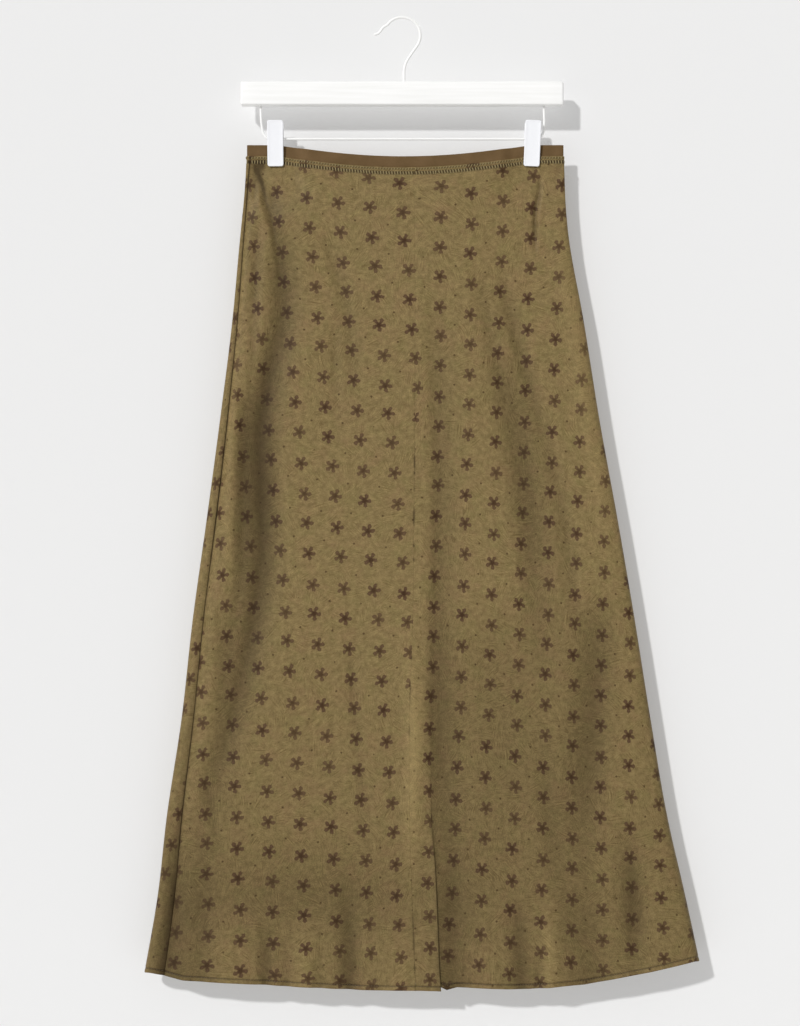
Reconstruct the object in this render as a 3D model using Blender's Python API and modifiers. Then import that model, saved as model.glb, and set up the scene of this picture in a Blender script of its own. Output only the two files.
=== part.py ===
"""Slip skirt on a clip hanger.

Metres, +Z up. The origin is the inside top of the hook, where the hanger hangs. The skirt
faces -Y, and left and right are as seen from the front. The skirt is a flattened tube: its
panels share one closed section, which a table of sizes sets from waist to hem.
"""

import math

import bmesh
import bpy
import numpy as np

MM = 0.001

# Hanger
BAR_LENGTH = 354.8 * MM
BAR_DEPTH = 15.0 * MM
BAR_HEIGHT = 26.4 * MM
BAR_TOP = -69.7 * MM
BAR_ROUNDING = 2.5 * MM
HOOK_WIRE = 3.2 * MM
HOOK_RADIUS = 20.0 * MM
HOOK_TURN = 35.0
HOOK_START = 153.0
SHANK_X = 2.1 * MM
HOOK_LEAD = 0.62
HOOK_TIP = ((-29.4, -17.4), (-24.2, -14.9))
CLIP_WIRE = 2.6 * MM
CLIP_WIRE_HALF = 155.6 * MM
CLIP_WIRE_Z = -132.5 * MM
CLIP_WIRE_BEND = 6.0 * MM
SOCKET_DEPTH = 12.0 * MM
GAP = 0.3 * MM

# Clips: place along the wire and lean, in degrees, of each
CLIPS = {"left": (-139.2 * MM, -0.3), "right": (143.4 * MM, 2.4)}
JAW_WIDTH = 17.6 * MM
JAW_ABOVE = 20.4 * MM
JAW_BELOW = 30.0 * MM
JAW_THICKNESS = 2.2 * MM
JAW_CORNER = 2.0 * MM
JAW_REACH = 4.7 * MM
JAW_ANGLE = 5.0
EAR_THICKNESS = 1.5 * MM
EAR_PLACES = {"front": 6.6 * MM, "back": 4.7 * MM}
EAR_HEIGHT = 8.0 * MM
EAR_OVERHANG = 3.4 * MM
CLIP_SLACK = 0.7 * MM
SPRING_LENGTH = 6.0 * MM
SPRING_INNER = 1.7 * MM
SPRING_OUTER = 2.9 * MM

# Cloth
CLOTH_WALL = 1.2 * MM
BAND_WALL = 1.4 * MM
BAND_HEIGHT = 12.0 * MM
BAND_END_Z = -139.2 * MM
BAND_SAG = 12.8 * MM
BAND_SAG_POWER = 1.15
WAIST_Z = -150.0 * MM
EDGE_ROUNDING = 0.22
PINCH_DEPTH = 0.95 * MM
PINCH_FLAT = 20.0 * MM
PINCH_FADE = 16.0 * MM
PINCH_LENGTH = 60.0 * MM
BACK_HEM_RISE = 5.0 * MM

# Outside the clips the waist is nearly shut: where that starts on each side of the middle,
# how far it takes to start, the half depth there, and how fast it opens downwards
SHUT_MIDDLE = 2.0 * MM
SHUT_FROM = 136.0 * MM
SHUT_FADE = 20.0 * MM
SHUT_DEPTH = 2.6 * MM
SHUT_LENGTH = 50.0 * MM

# Folds start below the waistband, and fade towards the tube's edges and their own two ends
FOLD_START = 40.0 * MM
FOLD_EDGE_FADE = 0.3
FOLD_END_FADE = 0.3

# The flattened tube from waist to hem: height, left and right edge, how far the side seams
# stand in from the edges, the centre-front seam, the half depths in front and behind, and
# the angle that the centre fold has rolled over
SECTIONS = np.array(
    [
        (-150, -170.6, 177.6, 4.0, 13.0, 5.0, 4.5, 0),
        (-240, -179.4, 183.8, 4.6, 14.0, 8.0, 6.2, 0),
        (-330, -187.3, 199.6, 6.0, 14.5, 10.0, 7.3, 0),
        (-440, -200.5, 217.0, 8.4, 14.0, 11.5, 8.4, 0),
        (-550, -215.0, 236.9, 10.3, 12.0, 12.5, 9.3, 0),
        (-660, -230.2, 255.6, 12.0, 9.0, 13.5, 10.1, 10),
        (-770, -242.5, 273.1, 13.4, 7.0, 14.5, 10.9, 32),
        (-880, -259.0, 292.0, 17.0, 8.5, 15.5, 11.7, 92),
        (-960, -268.0, 310.2, 18.5, 11.0, 16.5, 12.3, 160),
        (-1070, -287.0, 334.0, 23.0, 15.0, 18.0, 13.0, 176),
    ],
    dtype=[(name, float) for name in "z left right seam_in centre front back roll".split()],
)

# Hem height across the front, seen flat
HEM = np.array(
    [
        (-290, -1047.0),
        (-240, -1058.0),
        (-150, -1062.5),
        (-50, -1068.0),
        (12, -1068.6),
        (45, -1069.5),
        (60, -1065.5),
        (130, -1067.5),
        (200, -1062.5),
        (270, -1049.0),
        (334, -1034.5),
    ],
    dtype=[("x", float), ("z", float)],
)

# Folds of the front and of the back: both ends of each fold's line, its half width, and how
# deep it runs; a negative depth is a ridge
FOLD_COLUMNS = "x_top z_top x_bottom z_bottom width depth".split()
FRONT_FOLDS = [
    (-158, -230, -158, -640, 15, 6.0),
    (-156, -560, -205, -900, 20, 3.5),
    (-185, -300, -196, -560, 10, -2.0),
    (-142, -170, -129, -330, 9, 2.2),
    (-80, -240, -72, -420, 14, 1.6),
    (88, -250, 132, -560, 16, 4.0),
    (128, -520, 205, -830, 22, 4.0),
    (148, -180, 150, -420, 12, 2.0),
    (196, -700, 258, -1200, 20, 4.0),
    (-58, -860, -56, -1240, 15, 5.0),
    (-205, -820, -262, -1240, 18, 3.5),
    (135, -900, 128, -1240, 12, 3.5),
    (-150, -880, -152, -1240, 22, -3.0),
    (95, -880, 90, -1240, 20, -2.5),
]
BACK_FOLDS = [
    (-150, -200, -164, -700, 16, -2.2),
    (-60, -300, -72, -820, 20, -2.0),
    (70, -330, 96, -900, 22, -2.4),
    (150, -220, 182, -760, 15, -2.2),
    (-120, -760, -140, -1240, 20, -2.2),
    (-10, -800, 0, -1240, 24, 2.0),
    (150, -860, 176, -1240, 20, -2.4),
]

# The roll at the centre of the front, to the right of the seam: where its edge runs, the
# radius of its two turns, how far the cloth runs back between them, and how far it takes the
# cloth to come forward again
ROLL_EDGE = [
    (-150, 42.0), (-550, 36.0), (-660, 31.0), (-770, 30.0), (-885, 34.0), (-960, 39.5), (-1070, 48.0)
]
ROLL_RADIUS = 1.5 * MM
ROLL_BACK = 7.0 * MM
ROLL_RECOVER = 75.0 * MM
ROLL_UNDER_X = 60.0 * MM
ROLL_STEPS = 10

CLIP_ROW = 0.016
SEAM_SHARE = 0.008
PANEL_ROWS = 30
SEAM_COLUMNS = 4
FRONT_COLUMNS = 18
BACK_COLUMNS = 23
BACK_SPLIT_ROW = 14
BAND_COLUMNS = 64
HEIGHT_ROUNDS = 6

COLOURS = {
    "printed_cloth": ((0.26, 0.19, 0.085, 1), 0.45, 0.0),
    "elastic": ((0.155, 0.095, 0.045, 1), 0.8, 0.0),
    "painted_wood": ((0.88, 0.88, 0.87, 1), 0.4, 0.0),
    "painted_wire": ((0.86, 0.86, 0.86, 1), 0.35, 0.0),
    "clip_plastic": ((0.86, 0.87, 0.89, 1), 0.2, 0.0),
    "spring_steel": ((0.6, 0.6, 0.6, 1), 0.3, 1.0),
}


# Scene

def clear_scene():
    for thing in list(bpy.data.objects):
        bpy.data.objects.remove(thing, do_unlink=True)


def new_collection(name):
    collection = bpy.data.collections.new(name)
    bpy.context.scene.collection.children.link(collection)
    return collection


def make_material(name):
    colour, roughness, metallic = COLOURS[name]
    material = bpy.data.materials.new(name)
    material.use_nodes = True
    shader = material.node_tree.nodes["Principled BSDF"]
    shader.inputs["Base Color"].default_value = colour
    shader.inputs["Roughness"].default_value = roughness
    shader.inputs["Metallic"].default_value = metallic
    material.diffuse_color = colour
    return material


def add_object(name, data, collection, material=None):
    thing = bpy.data.objects.new(name, data)
    collection.objects.link(thing)
    if material is not None:
        data.materials.append(material)
    return thing


# Reading the tables

def smooth_read(knots, values, at):
    """Cubic Hermite curve through (knots, values), knots rising, read at the given places."""
    slopes = np.gradient(values, knots)
    i = np.clip(np.searchsorted(knots, at) - 1, 0, len(knots) - 2)
    step = knots[i + 1] - knots[i]
    s = np.clip((at - knots[i]) / step, 0, 1)
    start = (1 + 2 * s) * (1 - s) ** 2 * values[i] + s * (1 - s) ** 2 * step * slopes[i]
    end = s**2 * (3 - 2 * s) * values[i + 1] + s**2 * (s - 1) * step * slopes[i + 1]
    return start + end


def section(name, z):
    """One column of the section table at heights z, in metres."""
    return smooth_read(SECTIONS["z"][::-1] * MM, SECTIONS[name][::-1] * MM, z)


def roll_angle(z):
    """How far the centre fold has rolled over at heights z, in radians."""
    degrees = smooth_read(SECTIONS["z"][::-1] * MM, SECTIONS["roll"][::-1], z)
    return np.radians(np.clip(degrees, 0, 180))


def roll_edge(z):
    """Where the rolled edge runs at heights z."""
    heights, places = np.array(ROLL_EDGE[::-1]).T * MM
    return smooth_read(heights, places, z)


def ease(s):
    """0 below 0, 1 above 1, and a smooth step between."""
    s = np.clip(s, 0, 1)
    return s * s * (3 - 2 * s)


def relief(folds, x, z):
    """Depth of all folds at (x, z): a bell across each fold's line, faded at both ends."""
    total = np.zeros_like(x)
    for row in folds:
        fold = {name: value * MM for name, value in zip(FOLD_COLUMNS, row)}
        along = (fold["z_top"] - z) / (fold["z_top"] - fold["z_bottom"])
        centre = fold["x_top"] + (fold["x_bottom"] - fold["x_top"]) * along
        fade = ease(along / FOLD_END_FADE) * ease((1 - along) / FOLD_END_FADE)
        total += fold["depth"] * fade * np.exp(-(((x - centre) / fold["width"]) ** 2))
    return total


# Section of the tube

def band_top(x):
    """Height of the waistband's top edge: level outside the clips and sagging between them."""
    left, right = CLIPS["left"][0], CLIPS["right"][0]
    across = np.clip((2 * x - left - right) / (right - left), -1, 1)
    return BAND_END_Z - BAND_SAG * (1 - across**2) ** BAND_SAG_POWER


def half_depth(x, z, side):
    """Half depth of the tube at (x, z), pinched together under the clips."""
    depth = section(side, z)
    outside = ease((np.abs(x - SHUT_MIDDLE) - SHUT_FROM) / SHUT_FADE)
    shut = outside * np.exp((z - WAIST_Z) / SHUT_LENGTH).clip(0, 1)
    depth = depth - (depth - SHUT_DEPTH) * shut
    below = np.clip((CLIP_WIRE_Z - JAW_BELOW - z) / PINCH_LENGTH, 0, 1)
    for place, _ in CLIPS.values():
        near = 1 - ease((np.abs(x - place) - PINCH_FLAT) / (PINCH_FADE * (1 + 2 * below)))
        depth = depth - (depth - PINCH_DEPTH) * near * (1 - ease(below))
    return depth


def tube(t, z):
    """Point of the tube at place t round it and height z. t runs -1 to 1 across the front,
    left to right, and 1 to 3 across the back, right to left, and repeats every 4."""
    left, right = section("left", z), section("right", z)
    turn = np.cos(np.pi * t / 2)
    x = (left + right) / 2 + (right - left) / 2 * np.sin(np.pi * t / 2)
    flat = np.sqrt(1 + EDGE_ROUNDING**2) * turn / np.sqrt(turn**2 + EDGE_ROUNDING**2)
    free = ease((band_top(x) - BAND_HEIGHT - z) / FOLD_START) * ease(np.abs(turn) / FOLD_EDGE_FADE)
    front = -half_depth(x, z, "front") * flat + relief(FRONT_FOLDS, x, z) * free
    back = -half_depth(x, z, "back") * flat + relief(BACK_FOLDS, x, z) * free
    return x, np.where(turn > 0, front, back)


def place_of(x, z, side):
    """The place t round the tube where the front, or the back, is at x."""
    left, right = section("left", z), section("right", z)
    sine = np.clip((2 * x - left - right) / (right - left), -1, 1)
    t = np.arcsin(sine) * 2 / np.pi
    return t if side == "front" else 2 - t


def hem_height(x):
    return np.interp(x, HEM["x"] * MM, HEM["z"] * MM)


def row_shares(rows):
    """How far down each row lies, 0 to 1. The first two rows are as far apart as the clips
    reach below the waistband."""
    return np.hstack([0, np.linspace(CLIP_ROW, 1, rows - 1)])[:, None]


def column_heights(top_x, hem_x, hem_t, rows):
    """Heights down each column: the first row follows the waistband, and the last the hem.
    The back's hem is a little higher, so that the front hides it."""
    down = row_shares(rows)
    top = band_top(top_x) - BAND_HEIGHT - GAP
    rise = BACK_HEM_RISE * ease(-np.cos(np.pi * hem_t / 2) / 0.25)
    return top * (1 - down) + (hem_height(hem_x) + rise) * down


def first_heights(rows):
    """Even heights from the waist to the hem, which the rounds after it correct."""
    return WAIST_Z + (HEM["z"].min() * MM - WAIST_Z) * row_shares(rows)


def grid_heights(columns_t, rows):
    """Heights of a grid whose columns run down the tube at the places in columns_t(z)."""
    z = first_heights(rows)
    for _ in range(HEIGHT_ROUNDS):
        t = columns_t(z)
        x, _ = tube(t, z)
        z = column_heights(x[:1], x[-1:], t[-1:], rows)
    return z


# Panels

def grid_mesh(name, points, closed=False):
    """A mesh of quads over points[row, column], joined round if closed."""
    rows, columns, _ = points.shape
    index = np.arange(rows * columns).reshape(rows, columns)
    right = np.roll(index, -1, axis=1)
    last = columns if closed else columns - 1
    corners = (index[:-1], index[1:], right[1:], right[:-1])
    quads = np.stack([c[:, :last].ravel() for c in corners], 1)
    mesh = bpy.data.meshes.new(name)
    mesh.from_pydata(points.reshape(-1, 3).tolist(), [], quads.tolist())
    mesh.shade_smooth()
    return mesh


def thicken(thing, wall):
    solid = thing.modifiers.new("wall", "SOLIDIFY")
    solid.thickness = wall
    solid.offset = 0
    solid.use_even_offset = True
    solid.use_rim = True


def spread(start, end, columns, seams=""):
    """columns places from start to end, both of which may change with height. Close beside a
    seam at the start or the end there is one more, so that the wall's rim stands square."""
    shares = np.linspace(0, 1, columns)
    if "start" in seams:
        shares = np.insert(shares, 1, SEAM_SHARE)
    if "end" in seams:
        shares = np.insert(shares, -1, 1 - SEAM_SHARE)
    return start + (end - start) * shares[None, :]


def make_front_left(collection, material):
    def columns_t(z):
        seam = place_of(section("left", z) + section("seam_in", z) + GAP / 2, z, "front")
        centre = place_of(section("centre", z) - GAP / 2, z, "front")
        return spread(seam, centre, FRONT_COLUMNS, "start")

    z = grid_heights(columns_t, PANEL_ROWS)
    x, y = tube(columns_t(z), z)
    mesh = grid_mesh("front_left", np.stack([x, y, z], -1))
    thicken(add_object("front_left", mesh, collection, material), CLOTH_WALL)


def make_back_panel(collection, material):
    """One piece of cloth in two solids, one above the other, so that neither is a long bow."""
    def columns_t(z):
        inset = section("seam_in", z)
        right = place_of(section("right", z) - inset - GAP / 2, z, "back")
        left = 4 + place_of(section("left", z) + inset - GAP / 2, z, "front")
        return spread(right, left, BACK_COLUMNS, "start end")

    z = grid_heights(columns_t, PANEL_ROWS)
    upper, lower = z[: BACK_SPLIT_ROW + 1].copy(), z[BACK_SPLIT_ROW:].copy()
    upper[-1] += GAP / 2
    lower[0] -= GAP / 2
    for name, heights in (("back_panel_upper", upper), ("back_panel_lower", lower)):
        x, y = tube(columns_t(heights), heights)
        mesh = grid_mesh(name, np.stack([x, y, heights], -1))
        thicken(add_object(name, mesh, collection, material), CLOTH_WALL)


def roll_path(z):
    """The centre fold's own path at each height: how far across and how deep the cloth is
    after each step. Its heading swings from 0 to the roll angle, holds, and swings back."""
    turn = math.pi * ROLL_RADIUS
    length = 2 * turn + ROLL_BACK
    steps = (np.arange(ROLL_STEPS) + 0.5) / ROLL_STEPS * length
    swing = np.minimum(ease(steps / turn), ease((length - steps) / turn))
    heading = roll_angle(z) * swing[None, :]
    piece = length / ROLL_STEPS
    across = np.cumsum(np.cos(heading), 1) * piece
    deep = np.cumsum(np.sin(heading), 1) * piece
    start = np.zeros((len(heading), 1))
    return np.hstack([start, across]), np.hstack([start, deep])


def make_front_right(collection, material):
    """From the centre seam over the centre fold, then round the right edge to the back."""
    before, after = SEAM_COLUMNS, FRONT_COLUMNS
    z = first_heights(PANEL_ROWS) * np.ones((1, before + ROLL_STEPS + after + 1))
    for _ in range(HEIGHT_ROUNDS):
        zc = z[:, before : before + 1]
        across, deep = roll_path(zc)
        edge = roll_edge(zc) - across.max(1, keepdims=True)
        seam = section("centre", zc) + GAP / 2
        first = spread(seam, edge, before + 1)
        rolled = edge + across[:, 1:]
        landed = rolled[:, -1:]
        t_start = place_of(landed, zc, "front")
        z_end = z[:, -1:]
        seam_x = section("right", z_end) - section("seam_in", z_end) + GAP / 2
        t_after = spread(t_start, place_of(seam_x, z_end, "back"), after, "end")[:, 1:]
        t_before = place_of(np.hstack([first, rolled]), zc, "front")
        t = np.hstack([t_before, t_after])
        x, y = tube(t, z[:, : t.shape[1]])
        hem_x = x[-1:].copy()
        under = slice(before + 1 + ROLL_STEPS // 2, before + 1 + ROLL_STEPS)
        hem_x[:, under] = np.maximum(hem_x[:, under], ROLL_UNDER_X)
        z = column_heights(x[:1], hem_x, t[-1:], PANEL_ROWS)
    drop = np.hstack([np.zeros_like(first), deep[:, 1:]])
    fall_back = deep[:, -1:] * (1 - ease((x[:, drop.shape[1] :] - landed) / ROLL_RECOVER))
    fall_back = fall_back * (t_after < 1)
    x, y = tube(t, z)
    y = y + np.hstack([drop, fall_back])
    mesh = grid_mesh("front_right", np.stack([x, y, z], -1))
    thicken(add_object("front_right", mesh, collection, material), CLOTH_WALL)


def make_waistband(collection, material):
    t = (np.linspace(-1, 3, BAND_COLUMNS, endpoint=False))[None, :]
    z = np.full((1, BAND_COLUMNS), WAIST_Z)
    x, y = tube(t, z)
    top = band_top(x)
    points = np.stack([np.stack([x[0], y[0], (top - drop)[0]], -1) for drop in (0, BAND_HEIGHT)])
    mesh = grid_mesh("waistband", points, closed=True)
    thicken(add_object("waistband", mesh, collection, material), BAND_WALL)


# Hanger

def wire(name, points, diameter, collection, material):
    """A round wire along points (x, z) in the hanger's plane, in metres."""
    curve = bpy.data.curves.new(name, "CURVE")
    curve.dimensions = "3D"
    curve.bevel_depth = diameter / 2
    curve.bevel_resolution = 2
    curve.use_fill_caps = True
    spline = curve.splines.new("POLY")
    spline.points.add(len(points) - 1)
    for point, (x, z) in zip(spline.points, points):
        point.co = (x, 0, z, 1)
    return add_object(name, curve, collection, material)


def arc(centre, radius, start, end, steps):
    """Points of an arc from start to end degrees, in the hanger's plane."""
    angles = [math.radians(start + (end - start) * i / steps) for i in range(steps + 1)]
    return [(centre[0] + radius * math.cos(a), centre[1] + radius * math.sin(a)) for a in angles]


def make_hook(collection, material):
    """The tip turns out, the bowl is one arc over the origin, and a second arc the other way
    leads into the shank."""
    bowl_centre = (0, HOOK_WIRE / 2 - HOOK_RADIUS)
    bowl = arc(bowl_centre, HOOK_RADIUS, HOOK_START, -HOOK_TURN, 18)
    turn = math.radians(HOOK_TURN)
    start_x, start_z = bowl[-1]
    lead = HOOK_LEAD * (start_x - SHANK_X)
    line_end = (start_x - lead, start_z - lead / math.tan(turn))
    radius = (line_end[0] - SHANK_X) / (1 - math.cos(turn))
    neck_centre = (SHANK_X + radius, line_end[1] - radius * math.sin(turn))
    neck = arc(neck_centre, radius, 180 - HOOK_TURN, 180, 6)
    shank = [(SHANK_X, BAR_TOP - SOCKET_DEPTH + GAP)]
    tip = [(x * MM, z * MM) for x, z in HOOK_TIP]
    wire("hanger_hook", tip + bowl + neck + shank, HOOK_WIRE, collection, material)


def make_clip_wire(collection, material):
    top = BAR_TOP - BAR_HEIGHT + SOCKET_DEPTH - GAP
    bend_z = CLIP_WIRE_Z + CLIP_WIRE_BEND
    bend_x = CLIP_WIRE_HALF - CLIP_WIRE_BEND
    left = arc((-bend_x, bend_z), CLIP_WIRE_BEND, 180, 270, 5)
    right = arc((bend_x, bend_z), CLIP_WIRE_BEND, 270, 360, 5)
    points = [(-CLIP_WIRE_HALF, top)] + left + right + [(CLIP_WIRE_HALF, top)]
    wire("clip_wire", points, CLIP_WIRE, collection, material)


def box_mesh(name, low, high, rounding=0.0, upright_only=False):
    """A box between two corners, its edges rounded, or only those along Y if upright_only."""
    mesh = bpy.data.meshes.new(name)
    shape = bmesh.new()
    bmesh.ops.create_cube(shape, size=1)
    for vertex in shape.verts:
        vertex.co = [a + (b - a) * (c + 0.5) for a, b, c in zip(low, high, vertex.co)]
    if rounding:
        edges = [
            e for e in shape.edges
            if not upright_only or abs(e.verts[0].co.y - e.verts[1].co.y) > 1e-6
        ]
        bmesh.ops.bevel(shape, geom=edges, offset=rounding, segments=3, profile=0.5, affect="EDGES")
    shape.to_mesh(mesh)
    shape.free()
    return mesh


def cylinder_mesh(name, radius, length, axis, centre, segments=24):
    """A closed cylinder along X or Z."""
    mesh = bpy.data.meshes.new(name)
    shape = bmesh.new()
    bmesh.ops.create_cone(
        shape, cap_ends=True, segments=segments, radius1=radius, radius2=radius, depth=length
    )
    for vertex in shape.verts:
        x, y, z = vertex.co
        vertex.co = (x, y, z) if axis == "Z" else (z, y, -x)
        vertex.co = [a + b for a, b in zip(vertex.co, centre)]
    shape.to_mesh(mesh)
    shape.free()
    return mesh


def boolean(thing, operation, mesh, cutters):
    """Adds a boolean of thing with a hidden cutter, which moves with it."""
    cutter = add_object(thing.name + "_" + mesh.name, mesh, cutters)
    cutter.parent = thing
    cutter.hide_render = True
    cutter.display_type = "WIRE"
    step = thing.modifiers.new(mesh.name, "BOOLEAN")
    step.operation = operation
    step.solver = "EXACT"
    step.object = cutter


def make_bar(collection, cutters, material):
    low = (-BAR_LENGTH / 2, -BAR_DEPTH / 2, BAR_TOP - BAR_HEIGHT)
    high = (BAR_LENGTH / 2, BAR_DEPTH / 2, BAR_TOP)
    bar = add_object("hanger_bar", box_mesh("bar", low, high, BAR_ROUNDING), collection, material)
    sockets = {
        "hook_socket": (HOOK_WIRE, SHANK_X, BAR_TOP),
        "left_socket": (CLIP_WIRE, -CLIP_WIRE_HALF, BAR_TOP - BAR_HEIGHT),
        "right_socket": (CLIP_WIRE, CLIP_WIRE_HALF, BAR_TOP - BAR_HEIGHT),
    }
    for name, (diameter, x, z) in sockets.items():
        hole = cylinder_mesh(name, diameter / 2 + GAP, 2 * SOCKET_DEPTH, "Z", (x, 0, z))
        boolean(bar, "DIFFERENCE", hole, cutters)


def make_jaw(name, clip_x, lean, side, collection, cutters, material):
    """One jaw about the wire: a plate, and two ears that the wire runs through. The front
    jaw's ears are outside the back jaw's."""
    facing = -1 if side == "front" else 1
    plate_y = sorted((facing * JAW_REACH, facing * (JAW_REACH + JAW_THICKNESS)))
    low = (-JAW_WIDTH / 2, plate_y[0], -JAW_BELOW)
    high = (JAW_WIDTH / 2, plate_y[1], JAW_ABOVE)
    plate = box_mesh(name, low, high, JAW_CORNER, upright_only=True)
    jaw = add_object(name, plate, collection, material)
    ear_x = EAR_PLACES[side]
    for ear, sign in (("ear_a", -1), ("ear_b", 1)):
        ear_y = sorted((facing * (JAW_REACH + JAW_THICKNESS / 2), -facing * EAR_OVERHANG))
        low = (sign * ear_x - EAR_THICKNESS / 2, ear_y[0], -EAR_HEIGHT / 2)
        high = (sign * ear_x + EAR_THICKNESS / 2, ear_y[1], EAR_HEIGHT / 2)
        boolean(jaw, "UNION", box_mesh(ear, low, high), cutters)
    hole = cylinder_mesh("hole", CLIP_WIRE / 2 + CLIP_SLACK, JAW_WIDTH, "X", (0, 0, 0), 16)
    boolean(jaw, "DIFFERENCE", hole, cutters)
    jaw.location = (clip_x, 0, CLIP_WIRE_Z)
    jaw.rotation_euler = (math.radians(facing * -JAW_ANGLE), math.radians(lean), 0)


def make_spring(name, clip_x, collection, material):
    """The coiled body of the clip's spring, a sleeve round the wire."""
    mesh = bpy.data.meshes.new(name)
    shape = bmesh.new()
    half = SPRING_LENGTH / 2
    profile = [
        shape.verts.new((place * half, 0, radius))
        for place, radius in ((-1, SPRING_INNER), (-1, SPRING_OUTER), (1, SPRING_OUTER), (1, SPRING_INNER))
    ]
    for a, b in zip(profile, profile[1:] + profile[:1]):
        shape.edges.new((a, b))
    geometry = shape.verts[:] + shape.edges[:]
    bmesh.ops.spin(
        shape, geom=geometry, cent=(0, 0, 0), axis=(1, 0, 0), angle=2 * math.pi, steps=16,
        use_merge=True,
    )
    bmesh.ops.remove_doubles(shape, verts=shape.verts[:], dist=SPRING_INNER / 20)
    bmesh.ops.recalc_face_normals(shape, faces=shape.faces[:])
    shape.to_mesh(mesh)
    shape.free()
    spring = add_object(name, mesh, collection, material)
    spring.location = (clip_x, 0, CLIP_WIRE_Z)


def main():
    clear_scene()
    skirt = new_collection("slip_skirt_on_clip_hanger")
    cutters = new_collection("cutters")
    materials = {name: make_material(name) for name in COLOURS}
    make_front_left(skirt, materials["printed_cloth"])
    make_front_right(skirt, materials["printed_cloth"])
    make_back_panel(skirt, materials["printed_cloth"])
    make_waistband(skirt, materials["elastic"])
    make_bar(skirt, cutters, materials["painted_wood"])
    make_hook(skirt, materials["painted_wire"])
    make_clip_wire(skirt, materials["painted_wire"])
    for clip, (clip_x, lean) in CLIPS.items():
        for side in ("front", "back"):
            name = f"clip_{clip}_{side}"
            make_jaw(name, clip_x, lean, side, skirt, cutters, materials["clip_plastic"])
        make_spring(f"clip_{clip}_spring", clip_x, skirt, materials["spring_steel"])


main()
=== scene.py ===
import functools
import math

import bpy
import numpy as np
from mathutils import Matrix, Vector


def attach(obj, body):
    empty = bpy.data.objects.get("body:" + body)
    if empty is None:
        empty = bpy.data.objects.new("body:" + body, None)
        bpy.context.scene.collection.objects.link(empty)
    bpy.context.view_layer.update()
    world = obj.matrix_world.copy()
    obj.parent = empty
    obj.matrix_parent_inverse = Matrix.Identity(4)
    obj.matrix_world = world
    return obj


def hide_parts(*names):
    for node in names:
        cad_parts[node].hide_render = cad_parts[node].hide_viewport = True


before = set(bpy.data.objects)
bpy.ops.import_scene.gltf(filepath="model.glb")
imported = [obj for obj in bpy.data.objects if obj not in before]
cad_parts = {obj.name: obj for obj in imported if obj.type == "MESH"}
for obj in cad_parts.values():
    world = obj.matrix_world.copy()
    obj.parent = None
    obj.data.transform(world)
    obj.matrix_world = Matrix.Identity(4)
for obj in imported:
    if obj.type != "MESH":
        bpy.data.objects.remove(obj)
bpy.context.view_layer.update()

# Slip skirt in printed satin-backed crepe on a white clip hanger. Metres, +Z up, the front faces -Y.
mm = 0.001
print("frame loaded:", len(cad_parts), "nodes")


# sRGB hex text to the linear colour that shaders take
def linear(hexText):
    srgb = np.array([int(hexText[k : k + 2], 16) for k in (1, 3, 5)]) / 255
    value = np.where(srgb <= 0.04045, srgb / 12.92, ((srgb + 0.055) / 1.055) ** 2.4)
    return (*value.tolist(), 1.0)


# adds one node: inputs by number or by name, each a value or another node's output, then its settings
def add(tree, kind, inputs=(), out=0, **settings):
    new = tree.nodes.new("ShaderNode" + kind)
    for name, value in settings.items():
        setattr(new, name, value)
    for name, value in inputs.items() if isinstance(inputs, dict) else enumerate(inputs):
        if isinstance(value, bpy.types.NodeSocket):
            tree.links.new(value, new.inputs[name])
        elif value is not None:
            new.inputs[name].default_value = value
    return new.outputs[out]


# starts a material on a Principled shader whose constant sockets are in finish
def newMaterial(name, finish):
    material = bpy.data.materials.new(name)
    material.use_nodes = True
    shader = material.node_tree.nodes["Principled BSDF"]
    for socket, value in finish.items():
        shader.inputs[socket].default_value = value
    material.diffuse_color = finish.get("Base Color", (0.5, 0.5, 0.5, 1))
    return material, shader, functools.partial(add, material.node_tree)


# links an output to one of the shader's sockets
def feed(material, shader, socket, output):
    material.node_tree.links.new(output, shader.inputs[socket])


# 0 below 0, 1 above 1, and 3s^2 - 2s^3 between
def ease(s):
    s = np.clip(s, 0, 1)
    return s * s * (3 - 2 * s)


# cubic Hermite curve through (knots, values), knots rising, with central slopes, read at the places given
def smoothRead(knots, values, at):
    slopes = np.gradient(values, knots)
    i = np.clip(np.searchsorted(knots, at) - 1, 0, len(knots) - 2)
    step = knots[i + 1] - knots[i]
    s = np.clip((at - knots[i]) / step, 0, 1)
    start = (1 + 2 * s) * (1 - s) ** 2 * values[i] + s * (1 - s) ** 2 * step * slopes[i]
    end = s**2 * (3 - 2 * s) * values[i + 1] + s**2 * (s - 1) * step * slopes[i + 1]
    return start + end


# value noise from -1 to 1: random numbers on a grid of the given steps, joined by smooth steps
def softNoise(u, v, stepU, stepV, seed):
    table = np.random.default_rng(seed).uniform(-1, 1, (128, 128))
    a, b = u / stepU, v / stepV
    i, j = np.floor(a).astype(int), np.floor(b).astype(int)
    p, q = ease(a - i), ease(b - j)
    i0, i1, j0, j1 = i % 128, (i + 1) % 128, j % 128, (j + 1) % 128
    low = table[i0, j0] * (1 - p) + table[i1, j0] * p
    high = table[i0, j1] * (1 - p) + table[i1, j1] * p
    return low * (1 - q) + high * q


# puts a mesh into the scene: vertices [n, 3], faces as lists of corners, smooth shaded
def putMesh(name, vertices, faces, materials, smooth=True):
    mesh = bpy.data.meshes.new(name)
    mesh.from_pydata(np.asarray(vertices).tolist(), [], [list(f) for f in faces])
    for material in materials:
        mesh.materials.append(material)
    mesh.polygons.foreach_set("use_smooth", np.full(len(mesh.polygons), smooth))
    mesh.update()
    thing = bpy.data.objects.new(name, mesh)
    bpy.context.scene.collection.objects.link(thing)
    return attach(thing, "root")


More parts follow.
